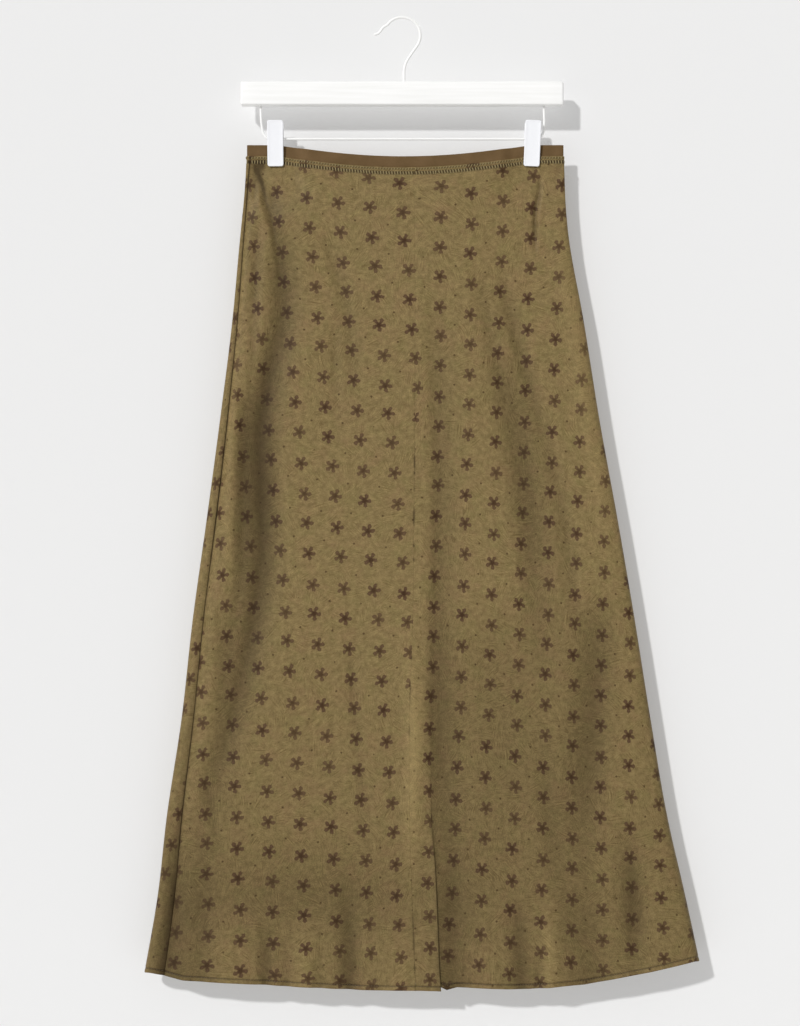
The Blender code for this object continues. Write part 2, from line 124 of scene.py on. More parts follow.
# quads of a grid [rows, columns], as corner numbers; closed joins the last column to the first
def gridQuads(rows, columns, closed=False, start=0):
    index = np.arange(rows * columns).reshape(rows, columns) + start
    right = np.roll(index, -1, axis=1)
    last = columns if closed else columns - 1
    corners = (index[:-1], index[1:], right[1:], right[:-1])
    return np.stack([c[:, :last].ravel() for c in corners], 1)


# vectors divided by their own lengths
def unit(vectors):
    return vectors / np.linalg.norm(vectors, axis=-1, keepdims=True)


# unit normals of a grid of points: the cross product of its steps down and across
def gridNormals(points):
    return unit(np.cross(np.gradient(points, axis=0), np.gradient(points, axis=1)))


# rings of sides points about a path [n, 3], square to its directions, each started at side and
# turned full circle: path + radius (first cos turn + second sin turn)
def ringsAround(path, along, radius, sides, side):
    first = unit(side - along * (side * along).sum(1, keepdims=True))
    second = np.cross(along, first)
    turn = np.arange(sides)[None, :, None] / sides * 2 * np.pi
    ring = first[:, None] * np.cos(turn) + second[:, None] * np.sin(turn)
    return path[:, None] + ring * np.reshape(radius, (-1, 1, 1))


# a round wire of even radius along a path, with a rounded cap of three rings at each end
def wireRings(path, radius, sides, side):
    along = unit(np.gradient(path, axis=0))
    swell = np.array([0.02, 0.5, 0.87])  # the caps' radii, as shares of the wire's
    reach = np.sqrt(1 - swell**2)[:, None] * radius
    capped = np.vstack([path[:1] - along[:1] * reach, path, path[-1:] + along[-1:] * reach[::-1]])
    radii = radius * np.hstack([swell, np.ones(len(path)), swell[::-1]])
    along = np.vstack([along[:1].repeat(3, 0), along, along[-1:].repeat(3, 0)])
    return ringsAround(capped, along, radii, sides, np.array(side, float))


# the faces of a tube whose rings are rows: outward quads, and both end rings closed
def tubeFaces(rows, sides, start=0):
    quads = gridQuads(rows, sides, True, start)[:, ::-1].tolist()
    first = list(range(start, start + sides))
    last = list(range(start + (rows - 1) * sides, start + rows * sides))
    return quads + [first[::-1], last]


cameraSizes = {"lens": 85, "sensor": 36, "place": (-0.0023, -2.665, -0.5438)}
camera = bpy.data.objects.new("camera", bpy.data.cameras.new("camera"))
camera.data.lens = cameraSizes["lens"]
camera.data.sensor_width = cameraSizes["sensor"]
camera.location = cameraSizes["place"]
camera.rotation_euler = (math.pi / 2, 0, 0)
bpy.context.scene.collection.objects.link(camera)
bpy.context.scene.camera = camera
bpy.context.scene.view_settings.view_transform = "Standard"

lightSizes = {
    "sun": 2.30, "sunWay": (0.587, 1.0, -0.62), "sunWidth": 3.0,
    "backSun": 1.3, "backWay": (-0.35, -1.0, -0.5), "backWidth": 20.0,
    "room": 0.33, "roomColour": "#FFFFFF", "seenColour": "#EFEFEF",
}


# a sun lamp shining along a direction
def addSun(name, strength, way, width):
    data = bpy.data.lights.new(name, "SUN")
    data.energy = strength
    data.angle = math.radians(width)
    lamp = bpy.data.objects.new(name, data)
    lamp.rotation_euler = Vector(way).to_track_quat("-Z", "Y").to_euler()
    bpy.context.scene.collection.objects.link(lamp)


addSun("keySun", lightSizes["sun"], lightSizes["sunWay"], lightSizes["sunWidth"])
addSun("backSun", lightSizes["backSun"], lightSizes["backWay"], lightSizes["backWidth"])
world = bpy.data.worlds.new("paleRoom")
world.use_nodes = True
bpy.context.scene.world = world
room = functools.partial(add, world.node_tree)
lit = room("Background", (linear(lightSizes["roomColour"]), lightSizes["room"]))
seen = room("Background", (linear(lightSizes["seenColour"]), 1.0))
either = room("MixShader", (room("LightPath"), lit, seen))
world.node_tree.links.new(either, world.node_tree.nodes["World Output"].inputs[0])

setSizes = {
    "wallY": 30.0, "wallHalf": (900.0, 900.0), "wallFade": 180.0, "wallZ": -540.0, "floorZ": -1450.0,
    "floorHalf": 30000.0, "wallColour": 0.59, "wallGlow": 0.215, "floorColour": "#E9E8E6",
}


# a flat rectangle of the set
def stagePlane(name, corners, material):
    plane = putMesh(name, corners, [(0, 1, 2, 3)], [material], smooth=False)
    return plane


# matt painted plaster: even and pale. It glows a little, as a well lit white wall does, it fades out
# towards its edges, and from behind it is clear
paint, shader, put = newMaterial("mattWallPaint", {"Roughness": 0.9, "Specular IOR Level": 0.1})
grey = setSizes["wallColour"]
shader.inputs["Base Color"].default_value = (grey, grey, grey, 1)
shader.inputs["Emission Color"].default_value = (1, 1, 1, 1)
shader.inputs["Emission Strength"].default_value = setSizes["wallGlow"]
grain = put("TexNoise", {"Vector": put("TexCoord", out=3), "Scale": 900.0, "Detail": 2.0})
feed(paint, shader, "Normal", put("Bump", {"Strength": 0.06, "Distance": 0.0004, "Height": grain}))
at = put("SeparateXYZ", (put("TexCoord", out=3),)).node
edges = []
for axis, centre, half in zip((0, 2), (0.0, setSizes["wallZ"]), setSizes["wallHalf"]):
    off = put("Math", (at.outputs[axis], centre * mm), operation="SUBTRACT")
    away = put("Math", (off,), operation="ABSOLUTE")
    low, high = (half - setSizes["wallFade"]) * mm, half * mm
    edges.append(put("MapRange", (away, low, high, 1.0, 0.0), interpolation_type="SMOOTHSTEP"))
solid = put("Math", (edges[0], edges[1]), operation="MULTIPLY")
front = put("Math", (1.0, put("NewGeometry", out=6)), operation="SUBTRACT")
shown = put("Math", (solid, front), operation="MULTIPLY")
mixed = put("MixShader", (shown, put("BsdfTransparent"), shader.outputs[0]))
paint.node_tree.links.new(mixed, paint.node_tree.nodes["Material Output"].inputs[0])
y, (halfX, halfZ), midZ = setSizes["wallY"], setSizes["wallHalf"], setSizes["wallZ"]
low, high = midZ - halfZ, midZ + halfZ
corners = [(-halfX, y, low), (halfX, y, low), (halfX, y, high), (-halfX, y, high)]
wall = stagePlane("wall", np.array(corners) * mm, paint)
wall.visible_shadow = False

# pale painted boards, seen only in the other views
floorFinish = {"Base Color": linear(setSizes["floorColour"]), "Roughness": 0.7}
boards, shader, put = newMaterial("paleFloorPaint", floorFinish)
cloudy = put("TexNoise", {"Vector": put("TexCoord", out=3), "Scale": 3.0, "Detail": 3.0})
feed(boards, shader, "Roughness", put("MapRange", (cloudy, 0.3, 0.7, 0.6, 0.8)))
half, z = setSizes["floorHalf"], setSizes["floorZ"]
corners = [(-half, -half, z), (half, -half, z), (half, half, z), (-half, half, z)]
stagePlane("floor", np.array(corners) * mm, boards)
print("camera, light and set made")


# the skirt's form is the same flattened tube as the solid. Sizes are in mm
skirtSizes = {
    "wall": 0.45, "lapOut": 0.32, "lapFade": 14.0, "seamGap": 0.1, "centreGap": 0.02,
    "waistZ": -150.0, "backHemRise": 5.0, "frontHemRise": 2.6,
    "bandWall": 0.95, "bandHeight": 12.0, "bandTuck": 5.0,
    "bandEndZ": -139.2, "bandSag": 12.8, "bandIn": 0.45,
    "pinchDepth": 0.95, "pinchFlat": 20.0, "pinchFade": 16.0, "pinchLength": 60.0,
    "clipReach": 30.0, "clipWireZ": -132.5,
    "shutMiddle": 2.0, "shutFrom": 136.0, "shutFade": 20.0, "shutDepth": 2.6, "shutLength": 50.0,
    "foldStart": 26.0, "leastRoom": 0.3,
    "rollRadius": 0.6, "rollRecover": 60.0, "lipStill": 16.0, "rollUnderX": 60.0,
}
skirtShares = {
    "bandSagPower": 1.15, "edgeRounding": 0.22, "hemEdge": 0.25, "pinchSpread": 2.0, "foldEdgeFade": 0.3,
    "depthLimit": 0.8, "rollFold": 1.2, "rollFront": 0.45, "rollPrint": 0.4,
}
size = {name: value * mm for name, value in skirtSizes.items()} | skirtShares
clipPlaces = {"Left": (-139.2, -0.3), "Right": (143.4, 2.4)}  # along the wire in mm, lean in degrees

# height, left and right edge, seams in from the edges, centre-front seam, half depths in front and
# behind
sectionTable = np.array(
    [
        (-150, -170.6, 177.6, 4.0, 13.0, 5.0, 4.5),
        (-240, -179.4, 183.8, 4.6, 14.0, 8.0, 6.2),
        (-330, -187.3, 199.6, 6.0, 14.5, 10.0, 7.3),
        (-440, -200.5, 217.0, 8.4, 14.0, 11.5, 8.4),
        (-550, -215.0, 236.9, 10.3, 13.0, 12.5, 9.3),
        (-660, -230.2, 255.6, 12.0, 12.0, 13.5, 10.1),
        (-770, -242.5, 273.1, 13.4, 8.0, 14.5, 10.9),
        (-880, -259.0, 292.0, 17.0, 8.5, 15.5, 11.7),
        (-960, -268.0, 310.2, 18.5, 11.0, 16.5, 12.3),
        (-1070, -287.0, 334.0, 23.0, 15.0, 18.0, 13.0),
    ],
    dtype=[(name, float) for name in "z left right seamIn centre front back".split()],
)
hemTable = np.array([
    (-290, -1047.0), (-240, -1058.0), (-150, -1062.5), (-50, -1068.0), (12, -1068.6), (45, -1069.5),
    (60, -1065.5), (130, -1067.5), (200, -1062.5), (270, -1049.0), (334, -1034.5),
])
# how far the centre fold has rolled over, in degrees, and where its edge shows
rollTable = np.array([
    (-1070, 112.0), (-1000, 100.0), (-960, 92.0), (-930, 76.0), (-900, 48.0), (-870, 24.0), (-820, 6.0),
    (-760, 0.0), (-640, 0.0), (-150, 0.0),
])
rollEdgeTable = np.array([
    (-1070, 43.4), (-1038, 41.4), (-1000, 40.2), (-960, 38.8), (-930, 37.8), (-905, 36.2), (-885, 34.6),
    (-845, 34.0), (-770, 34.6), (-660, 36.0), (-150, 40.0),
])

# how much further right the print lies on the lip of the fold than under it, by height
lipPrint = np.array([
    (-1070, 15.0), (-1030, 14.0), (-990, 10.0), (-950, 5.6), (-900, 4.4), (-850, 2.6), (-790, 0.0),
    (-730, 0.0), (-660, 0.0), (-150, 0.0),
])

# creases of the front in mm: each one's reach to the left and to the right of its line, then points
# (x, z, depth) down the line; a negative depth is a ridge
frontCreases = [
    # the long trough from the left clip down the left side
    (11, 17.6, ((-142, -184, 0), (-139, -204, 1.6), (-137, -227, 1.4), (-135, -249, 2.6), (-134, -282, 4.6),
        (-133, -320, 5), (-139, -359, 5.4), (-148, -397, 6.4), (-154, -452, 6.4), (-154, -529, 6.8),
        (-154, -584, 6.2), (-159, -639, 5.6), (-167, -683, 5.2), (-177, -733, 4.2), (-187, -782, 3),
        (-197, -821, 1.8), (-198, -859, 1.2), (-187, -914, 0))),
    (6.6, 6.6, ((-157, -216, 0), (-160, -254, 2.2), (-161, -287, 3), (-163, -320, 2), (-164, -364, 1.4),
        (-166, -419, 0.8), (-167, -441, 0))),
    (7.7, 13.2, ((-171, -403, 0), (-172, -436, 4.2), (-174, -474, 5.4), (-175, -551, 5.2),
        (-177, -617, 3.8), (-184, -683, 1.4), (-189, -727, 0))),
    (7.7, 7.7, ((-178, -254, 0), (-182, -331, -0.8), (-185, -419, -1.2), (-188, -507, -1),
        (-192, -595, -0.7), (-198, -683, 0))),
    (9.9, 13.2, ((-194, -595, 0), (-195, -650, 1.4), (-194, -694, 3), (-196, -738, 2.6), (-200, -788, 2),
        (-209, -826, 2), (-218, -870, 1.5), (-217, -914, 1.4), (-211, -958, 0))),
    (5.5, 5.5, ((-217, -826, 0), (-210, -859, 1.6), (-204, -892, 1.4), (-196, -931, 0))),
    # creases under the left clip
    (5.5, 4.4, ((-154, -144, 0), (-154, -153, 9), (-155, -162, 9), (-155, -172, 0))),
    (3.7, 2.6, ((-164, -155, 0), (-161, -165, 7), (-156, -175, 8.6), (-153, -185, 7.4), (-150, -201, 4.6),
        (-144, -224, 2.8), (-139, -249, 0))),
    (3.3, 3.3, ((-162, -164, 0), (-162, -175, 2.8), (-162, -188, 2), (-162, -206, 0))),
    (2.8, 7.7, ((-146, -182, 0), (-145, -197, 2), (-143, -217, 2.2), (-140, -243, 2.2), (-137, -268, 1.6),
        (-134, -298, 0))),
    (7.7, 9.9, ((-88, -227, 0), (-79, -254, 1.2), (-67, -298, 1.7), (-58, -342, 1.7), (-55, -381, 1.2),
        (-55, -419, 0))),
    (5.5, 7.7, ((-71, -320, 0), (-74, -353, 1.3), (-74, -392, 1.3), (-72, -430, 0.8), (-68, -474, 0))),
    (5.5, 7.7, ((-57, -661, 0), (-55, -727, 1.4), (-49, -793, 1), (-44, -859, 1.2), (-40, -914, 0))),
    # right of the centre seam
    (7.7, 19.8, ((31, -287, 0), (34, -353, 1.4), (37, -419, 2.2), (39, -474, 2.6), (39, -551, 3),
        (38, -617, 3.2), (37, -683, 3), (37, -749, 2.4), (37, -826, 1.4), (39, -876, 0))),
    (8.8, 28.6, ((37, -661, 0), (38, -738, 1.6), (39, -815, 2), (42, -881, 2), (42, -947, 2),
        (43, -1013, 2.4), (44, -1079, 2.8), (45, -1189, 2.8))),
    (9.9, 9.9, ((9, -639, 0), (11, -705, -1.4), (14, -760, -3), (14, -826, -3.6), (12, -876, -2.6),
        (10, -936, -0.8), (10, -991, 0))),
    # the long troughs from the right hip
    (8.8, 9.9, ((81, -268, 0), (88, -309, 1.4), (98, -353, 2), (105, -397, 1.4), (113, -441, 0))),
    (15.4, 24.2, ((108, -364, 0), (116, -408, 2.8), (126, -463, 3.8), (134, -518, 4.2), (140, -573, 3.8),
        (145, -628, 2.6), (152, -683, 1.4), (157, -738, 0))),
    (8.8, 9.9, ((109, -268, 0), (114, -309, 2), (124, -348, 2.9), (134, -386, 2.5), (145, -419, 1.8),
        (157, -463, 1.6), (169, -507, 1.8), (177, -551, 2.2), (182, -595, 2.2), (187, -639, 1.6),
        (191, -683, 0))),
    (26.4, 19.8, ((217, -623, 0), (215, -667, 3), (213, -711, 4), (209, -760, 4), (206, -804, 3.8),
        (202, -848, 3.2), (199, -892, 2.2), (199, -947, 1.7), (201, -991, 2.6), (206, -1030, 2.6),
        (206, -1079, 3.6), (207, -1189, 3.6))),
    (49.5, 66, ((105, -628, 0), (108, -694, 1.6), (111, -771, 1.9), (116, -859, 1.5), (121, -947, 0.8),
        (124, -1035, 0))),
    (9.9, 11, ((152, -771, 0), (157, -837, 1.4), (162, -892, 1.6), (169, -947, 0.9), (176, -1002, 0.6),
        (182, -1046, 0))),
    (14.3, 12.1, ((246, -876, 0), (251, -925, 2.8), (253, -958, 4), (254, -991, 4), (254, -1030, 1.8),
        (254, -1068, 0))),
    (9.9, 14.3, ((169, -188, 0), (177, -265, -1), (191, -353, -1.4), (204, -441, -1.4), (218, -529, -1.2),
        (229, -606, 0))),
    # creases under the right clip
    (2.2, 2, ((152, -169, 0), (151, -188, 3.4), (147, -213, 4.4), (146, -235, 3.6), (146, -263, 0))),
    (5.5, 6.6, ((175, -144, 0), (174, -158, 2.2), (170, -180, 0))),
    (2.9, 3.1, ((164, -147, 0), (164, -158, 1.6), (165, -169, 0))),
    (7.7, 3.3, ((121, -153, 0), (127, -163, 1.2), (136, -175, 0))),
    # a wide soft dip above the hem
    (165, 165, ((-112, -887, 0), (-112, -934, 1.4), (-112, -966, 2.1), (-112, -994, 1.2),
        (-112, -1022, 0))),
    # the dark corner at the left of the hem
    (26.4, 22, ((-240, -859, 0), (-241, -914, 0.9), (-245, -969, 2), (-251, -1013, 3), (-253, -1079, 3.2),
        (-255, -1189, 3.2))),
    # short flutes into the hem
    (9.9, 11, ((-61, -920, 0), (-60, -969, 1.5), (-58, -1013, 3.6), (-58, -1079, 4.6), (-58, -1189, 4.6))),
    (8.8, 8.8, ((-148, -986, 0), (-148, -1019, 2.8), (-150, -1079, 3.6), (-150, -1189, 3.6))),
    (6.6, 6.6, ((-126, -1002, 0), (-127, -1035, 1.6), (-128, -1079, 2), (-128, -1189, 2))),
    (7.7, 7.7, ((-89, -1002, 0), (-90, -1035, 1.2), (-90, -1189, 1.6))),
    (12.1, 12.1, ((-104, -969, 0), (-105, -1024, -1.4), (-105, -1079, -2), (-105, -1189, -2))),
    (15.4, 15.4, ((-5, -969, 0), (-2, -1024, -0.6), (-2, -1079, -1.8), (-2, -1189, -1.8))),
    (8.8, 9.9, ((125, -958, 0), (127, -991, 2.6), (129, -1030, 3.8), (129, -1189, 4.2))),
    (6.6, 7.7, ((149, -1002, 0), (149, -1030, 1.6), (149, -1189, 2.2))),
    (9.9, 9.9, ((165, -947, 0), (163, -1002, -2), (162, -1035, -2.6), (162, -1189, -2.6))),
    (13.2, 11, ((86, -947, 0), (88, -1002, -0.2), (89, -1079, -0.6), (89, -1189, -0.6))),
    (13.2, 13.2, ((-215, -914, 0), (-217, -969, 1.4), (-220, -1024, 1.8), (-221, -1079, 2),
        (-221, -1189, 2))),
    (11, 13.2, ((-187, -958, 0), (-189, -1013, -0.4), (-190, -1079, -0.8), (-190, -1189, -0.8))),
]
# creases of the back: fewer, of the same kind. The first one lies where the back comes round the left
# edge to the front
backCreases = [
    (14, 18, ((-256, -860, 0), (-251, -925, 2.2), (-249, -969, 4.4), (-256, -1002, 3.6), (-260, -1040, 3.6),
        (-260, -1240, 3.6))),
    (14, 20, ((-150, -190, 0), (-156, -330, 1.8), (-160, -520, 2.2), (-168, -650, 1.4), (-172, -760, 0))),
    (18, 22, ((-60, -260, 0), (-66, -440, 1.6), (-72, -600, 2.0), (-76, -740, 1.2), (-78, -860, 0))),
    (18, 26, ((70, -300, 0), (80, -480, 1.8), (90, -660, 2.4), (98, -820, 1.4), (102, -940, 0))),
    (14, 18, ((148, -200, 0), (158, -340, 1.8), (170, -520, 2.2), (182, -700, 1.2), (190, -820, 0))),
    (18, 22, ((-116, -720, 0), (-126, -860, 1.4), (-134, -980, 2.4), (-140, -1240, 2.6))),
    (22, 24, ((-8, -760, 0), (-4, -880, -1.2), (0, -980, -2.0), (2, -1240, -2.0))),
    (18, 22, ((150, -820, 0), (160, -940, 1.6), (168, -1020, 2.4), (174, -1240, 2.6))),
    (16, 16, ((-22, -190, 0), (-18, -280, 1.2), (-24, -400, 0.8), (-28, -480, 0))),
    (20, 16, ((18, -500, 0), (24, -600, 1.2), (22, -700, 0.8), (18, -800, 0))),
    (14, 18, ((-206, -840, 0), (-216, -940, 1.2), (-226, -1040, 1.8), (-232, -1240, 1.8))),
    (10, 12, ((58, -900, 0), (60, -980, 1.4), (60, -1240, 2.2))),
    (10, 12, ((220, -860, 0), (236, -960, -1.4), (246, -1040, -1.8), (250, -1240, -1.8))),
]


# one column of the section table at heights z
def sectionAt(name, z):
    return smoothRead(sectionTable["z"][::-1] * mm, sectionTable[name][::-1] * mm, z)


# how far the centre fold has rolled over at heights z, in radians
def rollAngle(z):
    degrees = smoothRead(rollTable[:, 0] * mm, rollTable[:, 1], z)
    return np.radians(np.clip(degrees, 0, 180))


# where the lip of the fold stands at heights z
def rollEdge(z):
    return smoothRead(rollEdgeTable[:, 0] * mm, rollEdgeTable[:, 1] * mm, z)


# the waistband's top: level outside the clips, and between them lower by sag * (1 - across^2)^power
def bandTop(x):
    left, right = clipPlaces["Left"][0] * mm, clipPlaces["Right"][0] * mm
    across = np.clip((2 * x - left - right) / (right - left), -1, 1)
    return size["bandEndZ"] - size["bandSag"] * (1 - across**2) ** size["bandSagPower"]


# half depth of the tube: the table's, nearly shut at the waist outside the clips, pinched under them
def halfDepth(x, z, side):
    depth = sectionAt(side, z)
    outside = ease((np.abs(x - size["shutMiddle"]) - size["shutFrom"]) / size["shutFade"])
    shut = outside * np.exp((z - size["waistZ"]) / size["shutLength"]).clip(0, 1)
    depth = depth - (depth - size["shutDepth"]) * shut
    lower = np.clip((size["clipWireZ"] - size["clipReach"] - z) / size["pinchLength"], 0, 1)
    for place, _ in clipPlaces.values():
        fade = size["pinchFade"] * (1 + size["pinchSpread"] * lower)
        reach = (np.abs(x - place * mm) - size["pinchFlat"]) / fade
        depth = depth - (depth - size["pinchDepth"]) * (1 - ease(reach)) * (1 - ease(lower))
    return depth


# the tube at place t and height z: x = middle + half * sin(pi t / 2), and y the half depth times a
# flattened cosine; t is -1 to 1 across the front, left to right, and 1 to 3 across the back
def tubePoint(t, z):
    left, right = sectionAt("left", z), sectionAt("right", z)
    turn = np.cos(np.pi * t / 2)
    x = (left + right) / 2 + (right - left) / 2 * np.sin(np.pi * t / 2)
    flat = np.sqrt(1 + size["edgeRounding"] ** 2) * turn / np.sqrt(turn**2 + size["edgeRounding"] ** 2)
    side = np.where(turn > 0, halfDepth(x, z, "front"), halfDepth(x, z, "back"))
    return x, -side * flat


# the place round the tube where the front, or the back, is at x
def placeOf(x, z, side):
    left, right = sectionAt("left", z), sectionAt("right", z)
    t = np.arcsin(np.clip((2 * x - left - right) / (right - left), -1, 1)) * 2 / np.pi
    return t if side == "front" else 2 - t


# height of the front's hem at x
def hemHeight(x):
    return np.interp(x, hemTable[:, 0] * mm, hemTable[:, 1] * mm)


# depth of the creases at (x, z): each one's own depth times exp(-(off / reach)^2) across its line
def creaseDepth(creases, x, z):
    total = np.zeros_like(x)
    for left, right, line in creases:
        knots = np.array(line[::-1], float) * mm
        off = x - smoothRead(knots[:, 1], knots[:, 0], z)
        reach = np.where(off < 0, left, right) * mm
        inside = (z > knots[0, 1]) & (z < knots[-1, 1])
        depth = smoothRead(knots[:, 1], knots[:, 2], z) * inside
        total += depth * np.exp(-((off / reach) ** 2))
    return total


# how far one step of t carries along the cloth, at place t and height z
def speedAt(t, z):
    step = 0.001
    x0, y0 = tubePoint(t - step, z)
    x1, y1 = tubePoint(t + step, z)
    return np.hypot(x1 - x0, y1 - y0) / (2 * step)


# fine columns beside a seam, and fine rows below the waistband and above the hem
seamSteps = np.array([0, 0.12, 0.3, 0.6, 1.2, 2.4]) * mm
topSteps = np.array([0, 0.1, 0.25, 0.5, 1.0, 1.8, 2.6, 3.4, 4.2, 5.0, 5.8, 6.6, 7.4, 8.2, 9.2, 10.4]) * mm
hemSteps = np.array([0, 0.1, 0.3, 0.65, 1.4, 2.4, 3.4, 4.0, 4.5, 5.0, 5.5, 6.0, 6.8, 8.0, 10.0]) * mm


# places from start to end: even steps of t, with fine ones beside the seam at either end
def spreadPlaces(start, end, z, count, fineStart=True, fineEnd=True):
    first = start + seamSteps / speedAt(start, z) if fineStart else start + 0 * z
    last = end - seamSteps[::-1] / speedAt(end, z) if fineEnd else end + 0 * z
    middle = np.linspace(0, 1, count + 2)[None, 1:-1]
    return np.hstack([first, first[:, -1:] + (last[:, :1] - first[:, -1:]) * middle, last])


# heights down each column from the waistband's lower edge to the hem, fine at both ends; the hem
# rises a little to the front's and to the back's own height
def columnHeights(topX, hemX, hemT, rows):
    top = bandTop(topX) - size["bandHeight"]
    turn = np.cos(np.pi * hemT / 2) / size["hemEdge"]
    rise = size["backHemRise"] * ease(-turn) + size["frontHemRise"] * ease(turn)
    length = top - hemHeight(hemX) - rise
    head, foot = topSteps[:, None] + 0 * length, length - hemSteps[::-1, None]
    middle = np.linspace(0, 1, rows + 2)[1:-1, None]
    return top - np.vstack([head, head[-1:] + (foot[:1] - head[-1:]) * middle, foot])


# a first guess of even heights, which the rounds correct
def firstHeights(rows):
    count = rows + len(topSteps) + len(hemSteps)
    return np.linspace(size["waistZ"], hemTable[:, 1].min() * mm, count)[:, None]


# relief of the cloth in mm: waves as steps across and down and a height, then the waist's gathers and
# lap, the two lines of stitches, and the valleys beside the seams as a reach and a depth
reliefSizes = {
    "swell": (70.0, 260.0, 0.9), "ripple": (26.0, 90.0, 0.34), "crumple": (11.0, 15.0, 0.10),
    "drift": (90.0, 70.0, 6.0), "settle": 30.0,
    "gather": (4.75, 40.0, 0.34), "gatherSlope": 0.15, "gatherFall": 16.0,
    "lapMiddle": 1.6, "lapBulge": 0.30,
    "stitchStart": 4.3, "stitchEnd": 8.6, "stitchSink": 0.42, "stitchFade": 0.9,
    "loopStart": 0.9, "loopEnd": 3.3, "loopFade": 0.5,
    "hemLine": 5.0, "hemSink": 0.32, "hemLineWidth": 0.9, "hemPucker": (7.0, 5.0, 0.12),
    "valleyWide": (11.0, 2.2), "valleyNear": (3.6, 1.3), "valleyStart": (-6.0, 60.0), "seamLine": 1.1,
}
# how dark each of these draws on the cloth: 2 is full shade, and below 0 it is paler
shadeSizes = {
    "creaseDepth": 4.6, "creaseLimits": (-0.7, 1.6), "creaseFade": 9.0,
    "stitch": 1.5, "loops": 0.9, "hemLine": 0.9,
    "low": 0.34, "lowStart": -580.0, "lowFade": 450.0,
    "valleyHigh": 0.35, "valleyLow": 1.0, "valleyFrom": -550.0, "valleyFade": 400.0, "lineFade": 60.0,
}


# 0 down to the height start (mm), then eased to 1 over fade (mm) below it
def below(z, start, fade):
    return ease((start * mm - z) / (fade * mm))


# 1 between two distances in mm and 0 outside them, with eased edges
def between(distance, start, end, fade):
    return ease((distance - start * mm) / (fade * mm)) * ease((end * mm - distance) / (fade * mm))


# relief outwards and shade at (x, z), below the waistband by fromTop and above the hem by fromHem, all
# in metres: creases, slow swells, ripples, fine crumples, gathers at the waist, two stitch lines. A
# trough deeper than the room behind the cloth flattens off at it, as room * tanh(depth / room)
def clothRelief(x, z, room, along, fromTop, fromHem, creases, free, seed):
    r, d = reliefSizes, shadeSizes
    depth = creaseDepth(creases, x, z)
    out = -np.where(depth > 0, room * np.tanh(depth / room), depth) * free
    settle = ease(fromTop / (r["settle"] * mm))
    driftX, driftZ, reach = r["drift"]
    drift = reach * mm * softNoise(along, z, driftX * mm, driftZ * mm, seed + 7)
    for number, name in enumerate(("swell", "ripple", "crumple")):
        stepX, stepZ, high = r[name]
        out += high * mm * settle * softNoise(along + drift, z, stepX * mm, stepZ * mm, seed + number) * free
    stepX, stepZ, high = r["gather"]
    wave = softNoise(along, z * r["gatherSlope"], stepX * mm, stepZ * mm, seed + 11)
    out += high * mm * wave * np.exp(-fromTop / (r["gatherFall"] * mm)) * free
    middle = r["lapMiddle"] * mm
    inLap = np.exp(-(((fromTop - middle) / middle) ** 2))
    stitch = between(fromTop, r["stitchStart"], r["stitchEnd"], r["stitchFade"])
    inLoops = between(fromTop, r["loopStart"], r["loopEnd"], r["loopFade"])
    out += r["lapBulge"] * mm * inLap - r["stitchSink"] * mm * stitch
    groove = np.exp(-(((fromHem - r["hemLine"] * mm) / (r["hemLineWidth"] * mm)) ** 2))
    stepX, fall, high = r["hemPucker"]
    pucker = softNoise(along, fromHem * 0, stepX * mm, 1.0, seed + 23)
    pucker *= np.exp(-((fromHem / (fall * mm)) ** 2))
    out += high * mm * pucker - r["hemSink"] * mm * groove
    # painted shade: darker in the troughs of the creases, paler on their ridges
    shade = np.clip(depth / (d["creaseDepth"] * mm), *d["creaseLimits"])
    shade *= ease(fromTop / (d["creaseFade"] * mm))
    # painted shade in the stitch rows and in the hem's stitch groove
    shade += d["stitch"] * stitch + d["loops"] * inLoops + d["hemLine"] * groove
    # painted shade: darker towards the hem
    shade += d["low"] * below(z, d["lowStart"], d["lowFade"])
    return out, shade


# gathers what the shell needs: base points with normals, then each row and column of the plan as a
# base row or column number and a depth inwards, so that edges turn in and the hem turns up
def turnEdges(points, normals, fields, rowPlan, columnPlan):
    rows, rowDepth = np.array(rowPlan).T
    columns, columnDepth = np.array(columnPlan).T
    pick = np.ix_(rows.astype(int), columns.astype(int))
    depth = (rowDepth[:, None] + columnDepth[None, :]) * mm
    return points[pick] - normals[pick] * depth[..., None], [field[pick] for field in fields]


# slivers of print along the centre seam: height and half length in mm, and how dark
seamSlivers = (
    (-488, 8, 1.5), (-500, 2, 1.8), (-517, 1.6, 1.8), (-548, 9, 1.5), (-579, 2, 1.8), (-594, 1.6, 1.8),
    (-703, 2.5, 1.2), (-741, 10, 1.0), (-782, 6, 1.0), (-991, 8, 0.6), (-1012, 14, 0.7), (-1041, 4, 0.9),
)


# rows of a panel as base rows and depths in mm: the top edge turns in over the elastic, and the hem
# turns up inside round a quarter circle and back on itself
def panelRows(count):
    top = [(0, 1.3), (0, 0.75), (1, 0.42), (2, 0.15), (3, 0.03)]
    steps = hemSteps / mm
    radius = 0.65  # of the hem's turn
    curve = radius - np.sqrt(np.clip(radius**2 - (radius - steps.clip(0, radius)) ** 2, 0, None))
    outer = [(count - 1 - k, curve[k]) for k in range(3, -1, -1)]
    inner = [(count - 1 - k, 2 * radius - curve[k]) for k in (1, 2, 3, 5, 9, 12)]
    return top + [(k, 0.0) for k in range(4, count - 4)] + outer + inner


# columns of a panel: both seam edges turn in, each by its share of the full turn
def panelColumns(count, startShare, endShare):
    turned = [(0, 1.7), (0, 0.9), (0, 0.5), (1, 0.26), (2, 0.10), (3, 0.0)]
    start = [(k, depth * startShare) for k, depth in turned]
    finish = [(count - 1 - k, depth * endShare) for k, depth in turned[::-1]]
    return start + [(k, 0.0) for k in range(4, count - 4)] + finish


